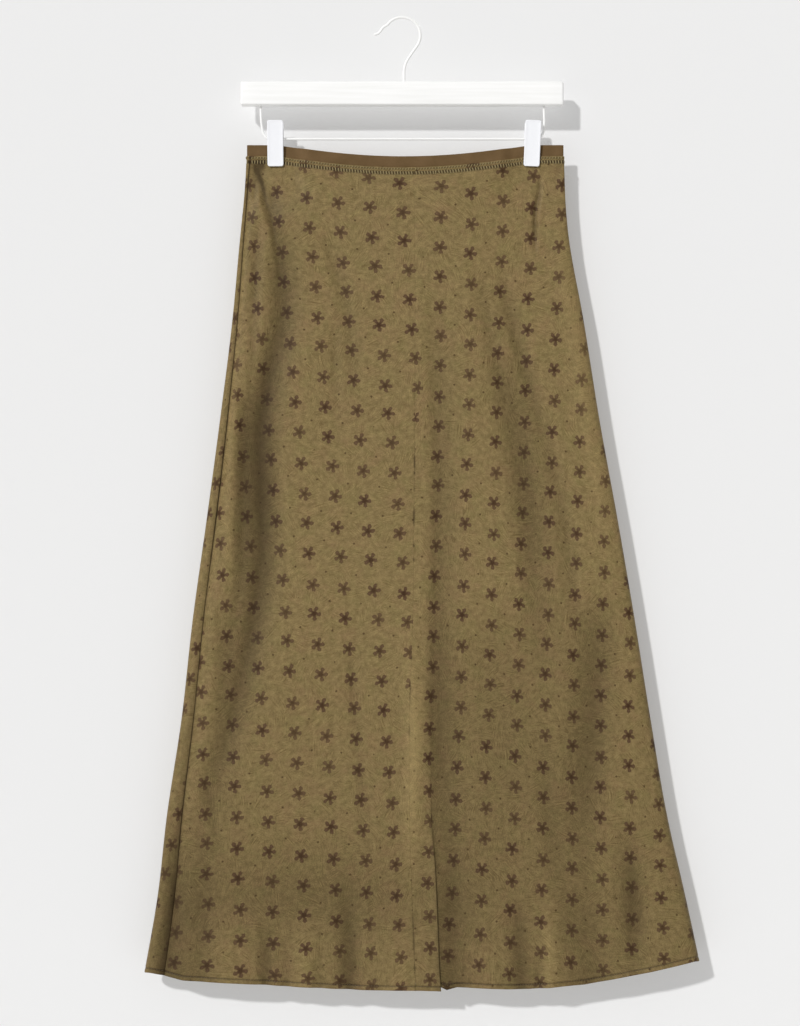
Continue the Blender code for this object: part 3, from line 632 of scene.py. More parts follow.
# each piece of cloth has its own place in the repeat of the print: start is a flower and at its own
# number in the repeat, across and down are the two steps in mm, and bend says how the steps change
# from place to place, with a row each for x and z
printPlaces = {
    "Left": {
        "start": (-101.4, -588.7), "at": (-2, 6), "across": (33.53, -3.81), "down": (3.08, -33.11),
        "bend": ((0.25, 0.125, -0.020, -0.0493, -0.0562, -0.0025, -0.0021),
                 (0.083, 0.100, -0.007, 0.0417, 0.0133, -0.0075, -0.0011)),
    },
    "Right": {
        "start": (128.7, -643.4), "at": (6, 6), "across": (30.36, -11.02), "down": (-0.91, -33.27),
        "bend": ((-0.096, 0.055, 0.004, 0.0098, 0.0218, 0.0169, -0.0008),
                 (-0.129, -0.076, -0.011, 0.0380, 0.0031, 0.0118, -0.0021)),
    },
    "Back": {
        "start": (-224.3, -691.6), "at": (40, 9), "across": (27.5, -13.6), "down": (-9.4, -33.5),
        "bend": ((0,) * 7,) * 2,
    },
}


# solves (x, z) = start + across i + down j + bend . (i^2, i j, j^2, i^3, i^2 j, i j^2, j^3) for
# (i, j) by Newton's steps, and adds the start's own number
def repeatPlace(u, v, place):
    aim = np.stack([u, v], -1) / mm - place["start"]
    steps = np.array([place["across"], place["down"]])
    bend = np.array(place["bend"]).T
    ij = aim @ np.linalg.inv(steps)
    for _ in range(8):
        i, j, none = ij[..., 0], ij[..., 1], 0 * ij[..., 0]
        terms = np.stack([i * i, i * j, j * j, i**3, i * i * j, i * j * j, j**3], -1)
        miss = ij @ steps + terms @ bend - aim
        byI = steps[0] + np.stack([2 * i, j, none, 3 * i * i, 2 * i * j, j * j, none], -1) @ bend
        byJ = steps[1] + np.stack([none, i, 2 * j, none, i * i, 2 * i * j, 3 * j * j], -1) @ bend
        scale = byI[..., 0] * byJ[..., 1] - byI[..., 1] * byJ[..., 0]
        di = (miss[..., 0] * byJ[..., 1] - miss[..., 1] * byJ[..., 0]) / scale
        dj = (byI[..., 0] * miss[..., 1] - byI[..., 1] * miss[..., 0]) / scale
        ij = ij - np.stack([di, dj], -1)
    return ij + place["at"]


# the flower, the dots and their colours, in mm and degrees: turn is the flower's own, and stray says how
# far each one is off its place
printSizes = {
    "across": (32.3, -6.9), "down": (1.2, -33.2), "turn": -82.0,
    "ground": "#7C6A46", "groundGreen": "#786B43", "groundPink": "#83694A", "groundLight": "#8B7850",
    "groundDark": "#6B5B3A", "stroke": "#5F4E2E", "strokeLight": "#978355",
    "arm": "#513C2A", "heart": "#3C2819", "lobe": "#5C4634", "dot": "#44311C",
    # shadeDark is painted shade and shadeLight a painted highlight, both laid over the print
    "shadeDark": "#342817", "shadeLight": "#A08A5C",
    "armLength": 5.35, "armHalf": 1.6, "lobeRadius": 2.1, "blur": 0.6, "squash": 0.95,
    "stray": 2.4, "turnStray": 6.0, "ragged": 3.2, "dotRadius": 1.05, "dotStray": 2.2, "patch": 30.0,
}


# printed satin-backed crepe: woven polyester with a soft glow, dyed khaki and printed with small
# brown five-armed flowers, dots and hair-thin feathered veins, with painted shade and highlight laid over it
def printedCrepe():
    p = printSizes
    finish = {"Roughness": 0.5, "Specular IOR Level": 0.09, "Sheen Weight": 0.02, "Sheen Roughness": 0.4,
              "Sheen Tint": linear("#C9B98C"), "IOR": 1.5}
    material, shader, put = newMaterial("printedCrepe", finish)
    half = (0.5, 0.5, 0.5)

    # from steps of the repeat to mm on the cloth
    def onCloth(vector):
        a, d = p["across"], p["down"]
        x = put("VectorMath", (vector, (a[0], d[0], 0.0)), operation="DOT_PRODUCT", out=1)
        z = put("VectorMath", (vector, (a[1], d[1], 0.0)), operation="DOT_PRODUCT", out=1)
        return put("CombineXYZ", (x, z, 0.0))

    # chances from 0 to 1 that differ from one cell of the repeat to the next
    def chancesOf(cell):
        return put("TexWhiteNoise", {"Vector": cell}, out=1, noise_dimensions="3D")

    # a colour vector's shift from its middle, as far as reach
    def shiftOf(vector, reach):
        shift = put("VectorMath", (vector, half), operation="SUBTRACT")
        return put("VectorMath", (shift, (reach, reach, 0.0)), operation="MULTIPLY")

    # tones laid over a colour one after another, each by its share
    def layered(colour, layers):
        for tone, share in layers:
            tone = linear(p[tone]) if isinstance(tone, str) else tone
            colour = put("Mix", {0: share, 6: colour, 7: tone}, out=2, data_type="RGBA")
        return colour

    repeat = put("Attribute", attribute_name="printPlace", out=1)
    cloth = onCloth(repeat)
    ragged = shiftOf(put("TexNoise", {"Vector": cloth, "Scale": 0.42, "Detail": 3.0}, out=1), p["ragged"])

    # the flower: five arms folded onto one, a stem that ends in a round lobe
    shifted = put("VectorMath", (repeat, half), operation="ADD")
    cell = put("VectorMath", (shifted,), operation="FLOOR")
    chance = chancesOf(cell)
    local = put("VectorMath", (cloth, onCloth(cell)), operation="SUBTRACT")
    for shift in (shiftOf(chance, p["stray"]), ragged):
        local = put("VectorMath", (local, shift), operation="ADD")
    local = put("VectorMath", (local, (1.0, p["squash"], 1.0)), operation="MULTIPLY")
    chances = put("SeparateXYZ", (chance,)).node.outputs
    least, most = (math.radians(-p["turn"] + side * p["turnStray"]) for side in (-1, 1))
    turn = put("MapRange", (chances[2], 0.0, 1.0, least, most))
    local = put("VectorRotate", {"Vector": local, "Angle": turn}, rotation_type="Z_AXIS")
    xy = put("SeparateXYZ", (local,)).node.outputs
    radius = put("VectorMath", (local,), operation="LENGTH", out=1)
    angle = put("Math", (xy[1], xy[0]), operation="ARCTAN2")
    folded = put("Math", (angle, math.pi / 5), operation="PINGPONG")
    along = put("Math", (radius, put("Math", (folded,), operation="COSINE")), operation="MULTIPLY")
    across = put("Math", (radius, put("Math", (folded,), operation="SINE")), operation="MULTIPLY")
    stem = put("Math", (
        put("Math", (across, p["armHalf"]), operation="SUBTRACT"),
        put("Math", (along, p["armLength"]), operation="SUBTRACT"),
    ), operation="MAXIMUM")
    inArm = put("CombineXYZ", (along, across, 0.0))
    toLobe = put("VectorMath", (inArm, (p["armLength"], 0.0, 0.0)), operation="DISTANCE", out=1)
    lobe = put("Math", (toLobe, p["lobeRadius"]), operation="SUBTRACT")
    shape = put("Math", (stem, lobe, 0.8), operation="SMOOTH_MIN")
    flower = put("MapRange", (shape, -p["blur"], p["blur"], 1.0, 0.0), interpolation_type="SMOOTHSTEP")
    heart = put("MapRange", (radius, 0.8, 4.6, 1.0, 0.0), interpolation_type="SMOOTHSTEP")
    bud = put("MapRange", (toLobe, 0.2, 1.5, 0.75, 0.0), interpolation_type="SMOOTHSTEP")

    # the dots stand between four flowers, and a few are missing
    dotCell = put("VectorMath", (put("VectorMath", (repeat,), operation="FLOOR"), half), operation="ADD")
    dotChance = chancesOf(dotCell)
    toDot = put("VectorMath", (cloth, onCloth(dotCell)), operation="SUBTRACT")
    toDot = put("VectorMath", (toDot, shiftOf(dotChance, p["dotStray"])), operation="ADD")
    toDot = put("VectorMath", (toDot,), operation="LENGTH", out=1)
    dotChances = put("SeparateXYZ", (dotChance,)).node.outputs
    dotSize = put("MapRange", (dotChances[2], 0.06, 0.3, 0.0, p["dotRadius"]))
    toDot = put("Math", (toDot, dotSize), operation="SUBTRACT")
    dot = put("MapRange", (toDot, -0.5, 0.6, 0.85, 0.0), interpolation_type="SMOOTHSTEP")

    # feathered strokes: in each bent patch of about 30 mm fine hairs lie at the patch's own angle,
    # each some 14 mm long and 1.3 mm wide
    bent = shiftOf(put("TexNoise", {"Vector": cloth, "Scale": 0.022, "Detail": 0.0}, out=1), 20.0)
    swirl = put("VectorMath", (cloth, bent), operation="ADD")
    patch = put("TexVoronoi", {"Vector": swirl, "Scale": 1 / p["patch"]}).node.outputs
    spine = put("VectorMath", (swirl, patch[2]), operation="SUBTRACT")
    spineTurn = put("Math", (put("SeparateXYZ", (patch[1],)), 2 * math.pi), operation="MULTIPLY")
    spine = put("VectorRotate", {"Vector": spine, "Angle": spineTurn}, rotation_type="Z_AXIS")
    s = put("SeparateXYZ", (spine,)).node.outputs
    beside = put("Math", (s[1],), operation="ABSOLUTE")
    barb = put("Math", (s[0], 0.32, beside), operation="MULTIPLY_ADD")
    lengthwise = put("Math", (s[0], 0.07), operation="MULTIPLY")
    hair = put("CombineXYZ", (lengthwise, put("Math", (barb, 0.95), operation="MULTIPLY"), 0.0))
    hairs = put("TexNoise", {"Vector": hair, "Scale": 1.0, "Detail": 1.0, "Roughness": 0.5})
    worn = put("TexNoise", {"Vector": cloth, "Scale": 0.07, "Detail": 3.0})
    worn = put("MapRange", (worn, 0.38, 0.60, 0.25, 1.0), interpolation_type="SMOOTHSTEP")
    darkHair = put("Math", (put("MapRange", (hairs, 0.47, 0.33, 0.0, 0.60)), worn), operation="MULTIPLY")
    lightHair = put("Math", (put("MapRange", (hairs, 0.53, 0.67, 0.0, 0.42)), worn), operation="MULTIPLY")

    # ground: khaki that drifts greener, pinker and paler over 10 to 40 mm
    slow = put("TexNoise", {"Vector": cloth, "Scale": 0.045, "Detail": 4.0, "Roughness": 0.62}, out=1)
    drift = put("SeparateXYZ", (slow,)).node.outputs
    green = put("MapRange", (drift[0], 0.44, 0.66, 0.0, 0.8))
    pink = put("MapRange", (drift[1], 0.48, 0.68, 0.0, 0.55))
    speck = put("TexNoise", {"Vector": cloth, "Scale": 0.17, "Detail": 3.0, "Roughness": 0.7})
    pale = put("MapRange", (speck, 0.50, 0.68, 0.0, 0.85))
    dusk = put("MapRange", (speck, 0.50, 0.32, 0.0, 0.85))

    figure = layered(linear(p["arm"]), (("lobe", bud), ("heart", heart)))
    inked = put("MapRange", (chances[0], 0.0, 1.0, 0.80, 0.97))
    inked = put("Math", (flower, inked), operation="MULTIPLY")
    colour = layered(linear(p["ground"]), (
        ("groundGreen", green), ("groundPink", pink), ("groundLight", pale), ("groundDark", dusk),
        ("stroke", darkHair), ("strokeLight", lightHair), ("dot", dot), (figure, inked),
    ))

    # yarns 0.3 mm apart are too fine to show, so the weave is drawn at 1.1 mm
    weave = put("TexNoise", {"Vector": cloth, "Scale": 0.9, "Detail": 2.0, "Roughness": 0.6})
    tone = put("MapRange", (weave, 0.3, 0.7, 0.80, 1.20))
    # painted shade and painted highlight: creaseShade mixes shadeDark into troughs, stitch rows, seam
    # valleys, the fold's lip and the lower skirt, and shadeLight onto ridges
    deep = put("Attribute", attribute_name="creaseShade", out=2)
    paintedCreaseShade = put("MapRange", (deep, 0.0, 2.0, 0.0, 1.0))
    raised = put("MapRange", (deep, -1.0, 0.0, 0.5, 0.0))
    colour = layered(colour, (("shadeDark", paintedCreaseShade), ("shadeLight", raised)))
    toned = put("VectorMath", (colour, put("CombineXYZ", (tone, tone, tone))), operation="MULTIPLY")
    feed(material, shader, "Base Color", toned)
    crinkle = put("TexNoise", {"Vector": cloth, "Scale": 0.16, "Detail": 3.0, "Roughness": 0.55})
    high = put("Math", (crinkle, 0.9), operation="MULTIPLY")
    high = put("Math", (weave, 0.12, high), operation="MULTIPLY_ADD")
    feed(material, shader, "Normal", put("Bump", {"Strength": 0.5, "Distance": 0.0005, "Height": high}))
    return material


# a plain material in two tones: one noise mixes them between its two limits, and a finer one, or the
# same, gives the roughness between two values and a bump as (strength, metres). A stretch scales the
# pattern along each axis
def twoToneMaterial(name, finish, tones, mottle, limits, grain=None, bump=None, roughness=None, stretch=None):
    material, shader, put = newMaterial(name, finish)
    where = put("TexCoord", out=3)
    if stretch:
        where = put("Mapping", {"Vector": where, "Scale": stretch})
    slow = put("TexNoise", {"Vector": where, **mottle})
    fine = put("TexNoise", {"Vector": where, **grain}) if grain else slow
    share = put("MapRange", (slow, *limits, 0.0, 1.0))
    colour = put("Mix", {0: share, 6: linear(tones[0]), 7: linear(tones[1])}, out=2, data_type="RGBA")
    feed(material, shader, "Base Color", colour)
    if bump:
        raised = put("Bump", {"Strength": bump[0], "Distance": bump[1], "Height": fine})
        feed(material, shader, "Normal", raised)
    if roughness:
        feed(material, shader, "Roughness", put("MapRange", (fine, 0.3, 0.7, *roughness)))
    return material


# the reverse of the crepe: the same cloth, dull and pebbled, with the print's colour showing
# through only as a faint mottling
reverse = twoToneMaterial(
    "crepeReverse", {"Roughness": 0.82, "Specular IOR Level": 0.2, "Sheen Weight": 0.1},
    ("#7C6D4B", "#6A5A3D"), {"Scale": 70.0, "Detail": 4.0}, (0.35, 0.68),
    grain={"Scale": 900.0, "Detail": 2.0}, bump=(0.3, 0.0003),
)
crepe = printedCrepe()


# a number at each vertex, or a vector of three
def setAttribute(thing, label, kind, field, values):
    layer = thing.data.attributes.new(label, kind, "POINT")
    layer.data.foreach_set(field, np.ascontiguousarray(values, np.float32).ravel())


# gives a sheet its wall, inwards from the face, and hides the solids it stands for
def finishSheet(thing, wall, nodes):
    thick = thing.modifiers.new("wall", "SOLIDIFY")
    thick.thickness = wall
    thick.offset = -1
    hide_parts(*nodes)
    return thick


# how far along the cloth each column lies, in metres, from the first one
def acrossCloth(x, y):
    steps = np.hypot(np.diff(x, axis=1), np.diff(y, axis=1))
    return np.hstack([np.zeros((len(x), 1)), np.cumsum(steps, 1)])


# the seams: share of the valleys' depth, how dark they are, where the seam's line starts (mm), how
# dark it is there, and its changes further down, each with a start and a fade in mm
leftChanges = ((-0.65, -550.0, 90.0), (-0.70, -890.0, 60.0))
seamSizes = {
    "leftInFront": (1.0, 0.25, -100.0, 1.5, leftChanges), "leftBehind": (1.1, 0.6, -100.0, 1.5, leftChanges),
    "right": (0.5, 0.2, -200.0, 0.3, ()), "centre": (0.07, 0.0, -960.0, 0.18, ()),
}


# relief and shade beside the seams: each valley is a sum of depth * exp(-(distance / reach)^2), and the
# line is the same with a reach of its own; slivers of print are caught in the centre seam
def seamRelief(seams, z, fromTop):
    r, d = reliefSizes, shadeSizes
    out, shade = np.zeros_like(z), np.zeros_like(z)
    lower = d["valleyHigh"] + (d["valleyLow"] - d["valleyHigh"]) * below(z, d["valleyFrom"], d["valleyFade"])
    start, fade = r["valleyStart"]
    begun = ease((fromTop - start * mm) / (fade * mm))
    for kind, distance in seams.items():
        share, dark, lineStart, line, changes = seamSizes[kind]
        for reach, deep in (r["valleyWide"], r["valleyNear"]):
            dip = np.exp(-((distance / (reach * mm)) ** 2)) * share * begun
            out -= deep * mm * dip
            # painted shade in the valleys beside the seams
            shade += dark * lower * dip / 2
        near = np.exp(-((distance / (r["seamLine"] * mm)) ** 2))
        line = line + sum(change * below(z, *place) for change, *place in changes)
        shade += line * near * below(z, lineStart, d["lineFade"])
        for height, length, darkness in seamSlivers if kind == "centre" else ():
            shade += darkness * near * np.exp(-(((z / mm - height) / length) ** 4))
    return out, shade


# where the cloth is free to crease: 0 at the waistband and at the tube's two edges, 1 elsewhere
def freeCloth(t, z):
    turn = np.cos(np.pi * t / 2)
    return ease((z[:1] - z) / size["foldStart"]) * ease(np.abs(turn) / size["foldEdgeFade"])


# the shell of one panel from its base grid (t, x, y, z): relief along the normals, the lap over the
# elastic at the top, the valleys beside the seams, and the place in the print
def finishPanel(name, grid, creases, ij, u, seed, turns, seams, nodes, extra=(0, 0)):
    t, x, y, z = grid
    base = np.stack([x, y, z], -1)
    fromTop, fromHem = z[:1] - z, z - z[-1:]
    room = np.maximum(size["depthLimit"] * np.abs(y), size["leastRoom"])
    out, shade = clothRelief(x, z, room, u, fromTop, fromHem, creases, freeCloth(t, z), seed)
    out += size["wall"] / 2 + size["lapOut"] * (1 - ease(fromTop / size["lapFade"]))
    seamOut, seamShade = seamRelief(seams, z, fromTop)
    points = base + gridNormals(base) * (out + seamOut + extra[0])[..., None]
    fields = (ij[..., 0], ij[..., 1], shade + seamShade + extra[1])
    plans = panelRows(len(z)), panelColumns(z.shape[1], *turns)
    points, (i, j, shade) = turnEdges(points, gridNormals(points), fields, *plans)
    rows, columns, _ = points.shape
    shell = putMesh(name, points.reshape(-1, 3), gridQuads(rows, columns).tolist(), [crepe, reverse])
    setAttribute(shell, "printPlace", "FLOAT_VECTOR", "vector", np.stack([i, j, 0 * i], -1))
    setAttribute(shell, "creaseShade", "FLOAT", "value", shade)
    wall = finishSheet(shell, size["wall"], nodes)
    wall.material_offset = 1  # the reverse inside
    print(name, "made,", rows, "by", columns, "points")
    return shell, points


grids = {
    "rounds": 6, "leftRows": 286, "leftColumns": 118, "rightColumns": 98, "rollSteps": 20, "beforeRoll": 8,
    "backRows": 230, "backColumns": 128,
}


# the grid (t, x, y, z) of a panel whose columns run at columnsAt(z), with its heights solved in rounds
def solvedGrid(columnsAt, rows):
    z = firstHeights(rows)
    for _ in range(grids["rounds"]):
        t = columnsAt(z)
        x, _ = tubePoint(t, z)
        z = columnHeights(x[:1], x[-1:], t[-1:], rows)
    t = columnsAt(z)
    return (t, *tubePoint(t, z), z)


# the left half of the front, from the side seam to the centre seam
def makeFrontLeft():
    def columnsAt(z):
        seam = placeOf(sectionAt("left", z) + sectionAt("seamIn", z) + size["seamGap"], z, "front")
        centre = placeOf(sectionAt("centre", z) - size["centreGap"], z, "front")
        return spreadPlaces(seam[:, :1], centre[:, -1:], z[:, :1], grids["leftColumns"])

    t, x, y, z = solvedGrid(columnsAt, grids["leftRows"])
    far = acrossCloth(x, y)
    u = x[:, -1:] - (far[:, -1:] - far)
    seams = {"leftInFront": far, "centre": far[:, -1:] - far}
    ij = repeatPlace(u, z, printPlaces["Left"])
    return finishPanel("clothFrontLeft", (t, x, y, z), frontCreases, ij, u, 100, (1.0, 0.25), seams,
                       ["front_left"])


# the back, from the right seam round the left edge to the side seam in front
def makeBack():
    def columnsAt(z):
        inset, gap = sectionAt("seamIn", z), size["seamGap"]
        right = placeOf(sectionAt("right", z) - inset - gap, z, "back")
        left = 4 + placeOf(sectionAt("left", z) + inset - gap, z, "front")
        return spreadPlaces(right[:, :1], left[:, -1:], z[:, :1], grids["backColumns"])

    t, x, y, z = solvedGrid(columnsAt, grids["backRows"])
    far = acrossCloth(x, y)
    left = far[:, -1:] - far
    u = x[:, -1:] - left
    seams = {"leftBehind": left, "right": far}
    ij = repeatPlace(u, z, printPlaces["Back"])
    nodes = ["back_panel_upper", "back_panel_lower"]
    return finishPanel("clothBack", (t, x, y, z), backCreases, ij, u, 300, (0.6, 1.0), seams, nodes)


# the centre fold's own path: its heading swings from 0 to the roll angle and back over the length
def rollPath(z):
    steps = grids["rollSteps"]
    turn = math.pi * size["rollRadius"]
    length = 2 * turn
    s = (np.arange(steps)[None, :] + 0.5) / steps * length
    heading = rollAngle(z) * np.minimum(ease(s / turn), ease((length - s) / turn))
    across = np.cumsum(np.cos(heading), 1) * length / steps
    deep = np.cumsum(np.sin(heading), 1) * length / steps
    start = np.zeros((len(heading), 1))
    return np.hstack([start, across]), np.hstack([start, deep])


# columns of the right half at heights z: flat ones up to the fold, then through its roll, then on
# from where it lands round the right edge to the side seam
def rightColumns(z):
    before, fine = grids["beforeRoll"], len(seamSteps)
    zFold, zEnd = z[:, min(fine + before, z.shape[1] - 1)][:, None], z[:, -1:]
    across, deep = rollPath(zFold)
    edge = rollEdge(zFold) - across.max(1, keepdims=True)
    seam = sectionAt("centre", zFold) + size["centreGap"]
    spread = (edge - seam - seamSteps[-1]) * np.linspace(0, 1, before + 2)[None, 1:]
    flat = np.hstack([seam + seamSteps, seam + seamSteps[-1] + spread])
    rolled = edge + across[:, 1:]
    landed = rolled[:, -1:]
    end = sectionAt("right", zEnd) - sectionAt("seamIn", zEnd) + size["seamGap"]
    places = (placeOf(landed, zFold, "front"), placeOf(end, zEnd, "back"))
    after = spreadPlaces(*places, zEnd, grids["rightColumns"], fineStart=False)[:, 1:]
    t = np.hstack([placeOf(np.hstack([flat, rolled]), zFold, "front"), after])
    return t, flat.shape[1], deep, landed


# the right half of the front: its grid with the fold rolled in, how far along the cloth each column
# lies, u for the print, and how quiet the creases are, 1 being untouched and 0 none beside the lip
def rightGrid():
    steps, rows = grids["rollSteps"], grids["leftRows"]
    z = firstHeights(rows)
    for _ in range(grids["rounds"]):
        t, flat, deep, landed = rightColumns(z)
        x, y = tubePoint(t, z)
        hemX = x[-1:].copy()
        under = slice(flat + steps // 2, flat + steps)
        hemX[:, under] = np.maximum(hemX[:, under], size["rollUnderX"])
        z = columnHeights(x[:1], hemX, t[-1:], rows)
    flatX, flatY = tubePoint(t, z)
    count = flat + steps
    recover = ease((flatX[:, count:] - landed) / size["rollRecover"])
    fallBack = deep[:, -1:] * (1 - recover) * (t[:, count:] < 1)
    y = flatY + np.hstack([np.zeros((len(z), flat)), deep[:, 1:], fallBack])
    far = acrossCloth(flatX, flatY)
    onFold = flatX[:, 1:count] - flatX[:, :1]  # through the roll u runs by x alone
    past = flatX[:, count - 1 : count] - flatX[:, :1] + far[:, count:] - far[:, count - 1 : count]
    u = flatX[:, :1] + np.hstack([far[:, :1], onFold, past])
    lip, still = rollEdge(z[:, :1]), size["lipStill"]
    sides = ease((lip - flatX[:, :flat]) / still), ease((flatX[:, count:] - lip) / still)
    free = np.hstack([sides[0], np.zeros((len(z), steps)), sides[1]])
    quiet = 1 - ease(rollAngle(z[:, :1]) / size["rollFold"]) * (1 - free)
    return (t, flatX, y, z), far, u, quiet


# shade at the lip of the fold: dark close to it, and a softer fall to its right. Lengths in mm
foldShade = {
    "dark": 0.75, "reach": 3.4, "start": -800.0, "fade": 120.0,
    "right": 0.30, "rightLow": 0.32, "rightReach": 26.0, "rightStart": -920.0, "rightFade": 60.0,
    "sameAbove": -410.0, "sameFade": 60.0, "sameReach": 27.0,
}


# the right half of the front, with the fold's own shade and the print's shifts at the fold
def makeFrontRight():
    f = foldShade
    (t, x, y, z), far, u, quiet = rightGrid()
    calm = creaseDepth(frontCreases, x, z) * freeCloth(t, z) * (1 - quiet)
    pastLip = (x - rollEdge(z[:, :1])) / mm
    # painted shade at the fold's lip, and a softer painted shade to its right
    right = f["right"] + f["rightLow"] * below(z, f["rightStart"], f["rightFade"])
    fall = np.where(pastLip < 0, 0.0, right * np.exp(-pastLip / f["rightReach"]))
    lip = (f["dark"] * np.exp(-((pastLip / f["reach"]) ** 2)) + fall) * below(z, f["start"], f["fade"])
    # above the hip the print runs on across the centre seam, so it starts from the left half's
    beside = 1 - ease((u - u[:, :1]) / (f["sameReach"] * mm))
    same = (1 - below(z, f["sameAbove"], f["sameFade"])) * beside
    # and below it the lip of the fold carries the print further to the right
    beforeLip = len(seamSteps) + grids["beforeRoll"] + size["rollFront"] * grids["rollSteps"]
    onLip = 1 - ease((np.arange(z.shape[1]) - beforeLip) / (size["rollPrint"] * grids["rollSteps"]))
    u = u - smoothRead(lipPrint[:, 0] * mm, lipPrint[:, 1] * mm, z) * onLip
    own, other = (repeatPlace(u, z, printPlaces[half]) for half in ("Right", "Left"))
    ij = own + (other - own) * same[..., None]
    seams = {"right": far[:, -1:] - far, "centre": far}
    extra = (calm, lip - calm / (shadeSizes["creaseDepth"] * mm))
    return finishPanel("clothFrontRight", (t, x, y, z), frontCreases, ij, u, 100, (0.25, 0.6), seams,
                       ["front_right"], extra)


frontLeft, leftPoints = makeFrontLeft()
frontRight, rightPoints = makeFrontRight()
back, backPoints = makeBack()


# the waistband, in mm: ribbed elastic, lapped behind the cloth. Waves are steps across and down and a
# height
bandSizes = {
    "columns": 420, "rows": 52, "ribPitch": 1.3, "ribHigh": 0.11, "ribStart": 0.65,
    "uneven": (6.0, 1.5, 0.25), "edge": 0.35, "edgeRound": 0.28, "pucker": (3.2, 40.0, 0.10),
}

# ribbed elastic: dull brown yarn with fine ribs along it and a faint stretch across
elasticFinish = {
    "Roughness": 0.78, "Specular IOR Level": 0.25, "Sheen Weight": 0.25, "Sheen Roughness": 0.5,
    "Sheen Tint": linear("#A98B62"),
}
elastic, shader, put = newMaterial("ribbedElastic", elasticFinish)
where = put("TexCoord", out=3)
slow = put("TexNoise", {"Vector": where, "Scale": 60.0, "Detail": 3.0})
yarn = put("MapRange", (slow, 0.3, 0.7, 0.0, 1.0))
# painted shade: the elastic is drawn darker in the sunk grooves between its ribs
ribGrooveShade = put("MapRange", (put("Attribute", attribute_name="rib", out=2), 0.0, 1.0, 0.34, 0.0))
colour = linear("#624C2D")
for tone, share in (("#6F5738", yarn), ("#4C381F", ribGrooveShade)):
    colour = put("Mix", {0: share, 6: colour, 7: linear(tone)}, out=2, data_type="RGBA")
feed(elastic, shader, "Base Color", colour)
stretched = put("Mapping", {"Vector": where, "Scale": (1.0, 1.0, 3.0)})
knit = put("TexNoise", {"Vector": stretched, "Scale": 700.0, "Detail": 2.0})
feed(elastic, shader, "Normal", put("Bump", {"Strength": 0.35, "Distance": 0.0003, "Height": knit}))


# the band: the tube's section at the waist, from its sagging top down behind the cloth's edge. Ribs are
# a cosine of the drop, and the edge is rounded as 1 - sqrt(1 - (1 - drop / edge)^2)
def makeBand():
    b = bandSizes
    t = np.linspace(-1, 3, b["columns"], endpoint=False)[None, :]
    x, y = tubePoint(t, np.full_like(t, size["waistZ"]))
    tall = skirtSizes["bandHeight"] + skirtSizes["bandTuck"]
    drop = np.linspace(0, tall, b["rows"])[:, None]
    phase = np.cos(2 * np.pi * (drop - b["ribStart"]) / b["ribPitch"])
    (unevenX, unevenZ, uneven), (puckerX, puckerZ, pucker) = b["uneven"], b["pucker"]
    ragged = uneven * softNoise(x / mm, drop, unevenX, unevenZ, 41)
    points = np.stack([x + 0 * drop, y + 0 * drop, bandTop(x) - drop * mm], -1)
    wrapped = np.concatenate([points[:, -2:], points, points[:, :2]], 1)
    edge = np.clip(drop / b["edge"], 0, 1)
    out = skirtSizes["bandWall"] / 2 - skirtSizes["bandIn"] + b["ribHigh"] * phase * (1 + ragged)
    out = out - b["edgeRound"] * (1 - np.sqrt(np.clip(1 - (1 - edge) ** 2, 0, 1)))
    out += pucker * softNoise(x / mm, drop, puckerX, puckerZ, 43)
    points = points + gridNormals(wrapped)[:, 2:-2] * out[..., None] * mm
    rows, columns, _ = points.shape
    quads = gridQuads(rows, columns, True).tolist()
    band = putMesh("elasticWaistband", points.reshape(-1, 3), quads, [elastic])
    setAttribute(band, "rib", "FLOAT", "value", (phase + 0 * x + 1) / 2)
    finishSheet(band, size["bandWall"], ["waistband"])
    return band


waistband = makeBand()
print("waistband made")


# spun polyester sewing thread: a fine twisted yarn with a dull shine
def sewingThread(name, tones):
    finish = {"Roughness": 0.55, "Specular IOR Level": 0.4, "Sheen Weight": 0.2}
    twist = {"Scale": 1400.0, "Detail": 1.0}
    return twoToneMaterial(name, finish, tones, twist, (0.35, 0.65), bump=(0.4, 0.0002))


paleThread = sewingThread("oliveThread", ("#8C7C50", "#7A6A41"))
darkThread = sewingThread("brownThread", ("#5C4A2C", "#4A3A21"))

# the coverstitch below the waistband has legs and loops, and the hem has one line of short stitches.
# Each kind's top and end, its lean, its thickness and how far it stands off the cloth are in mm
stitchKinds = {"Legs": (4.6, 8.7, 0.7, 1.5, 0.12), "Loops": (1.0, 3.4, -0.7, 1.2, 0.12)}
threadSizes = {
    "pitch": 3.1, "start": 0.8, "archHigh": 0.35, "flat": 0.5, "tail": 1.0,
    "hemPitch": 3.0, "hemStart": 1.0, "hemLength": 2.1, "hemThick": 0.45, "hemOff": 0.02, "hemArch": 0.10,
}


# many short stitches in one mesh: each runs between two points with its middle lifted along the
# normal as 4 lift s (1 - s), and is a flattened tube of five rings by six sides
def makeStitches(name, starts, ends, normals, thick, lift, material):
    long = np.linalg.norm(ends - starts, axis=1) > 0.4 * thick
    starts, ends, normals = starts[long], ends[long], normals[long]
    s = np.array([0.0, 0.12, 0.5, 0.88, 1.0])
    width = np.array([0.25, 0.85, 1.0, 0.85, 0.25]) * thick / 2
    along = ends - starts
    side = unit(np.cross(along, normals))
    centre = starts[:, None] + along[:, None] * s[None, :, None]
    centre = centre + normals[:, None] * (lift * 4 * s * (1 - s))[None, :, None]
    turn = np.arange(6)[:, None] / 6 * 2 * np.pi
    ring = side[:, None, None] * np.cos(turn) + normals[:, None, None] * threadSizes["flat"] * np.sin(turn)
    points = centre[:, :, None] + ring * width[None, :, None, None]
    start = np.arange(len(starts))[:, None] * 30  # each stitch's first vertex
    quads = (gridQuads(5, 6, True)[None] + start[:, None]).reshape(-1, 4)
    caps = (start + np.arange(6)).tolist() + (start + 24 + np.arange(6)[::-1]).tolist()
    return putMesh(name, points.reshape(-1, 3), quads.tolist() + caps, [material])


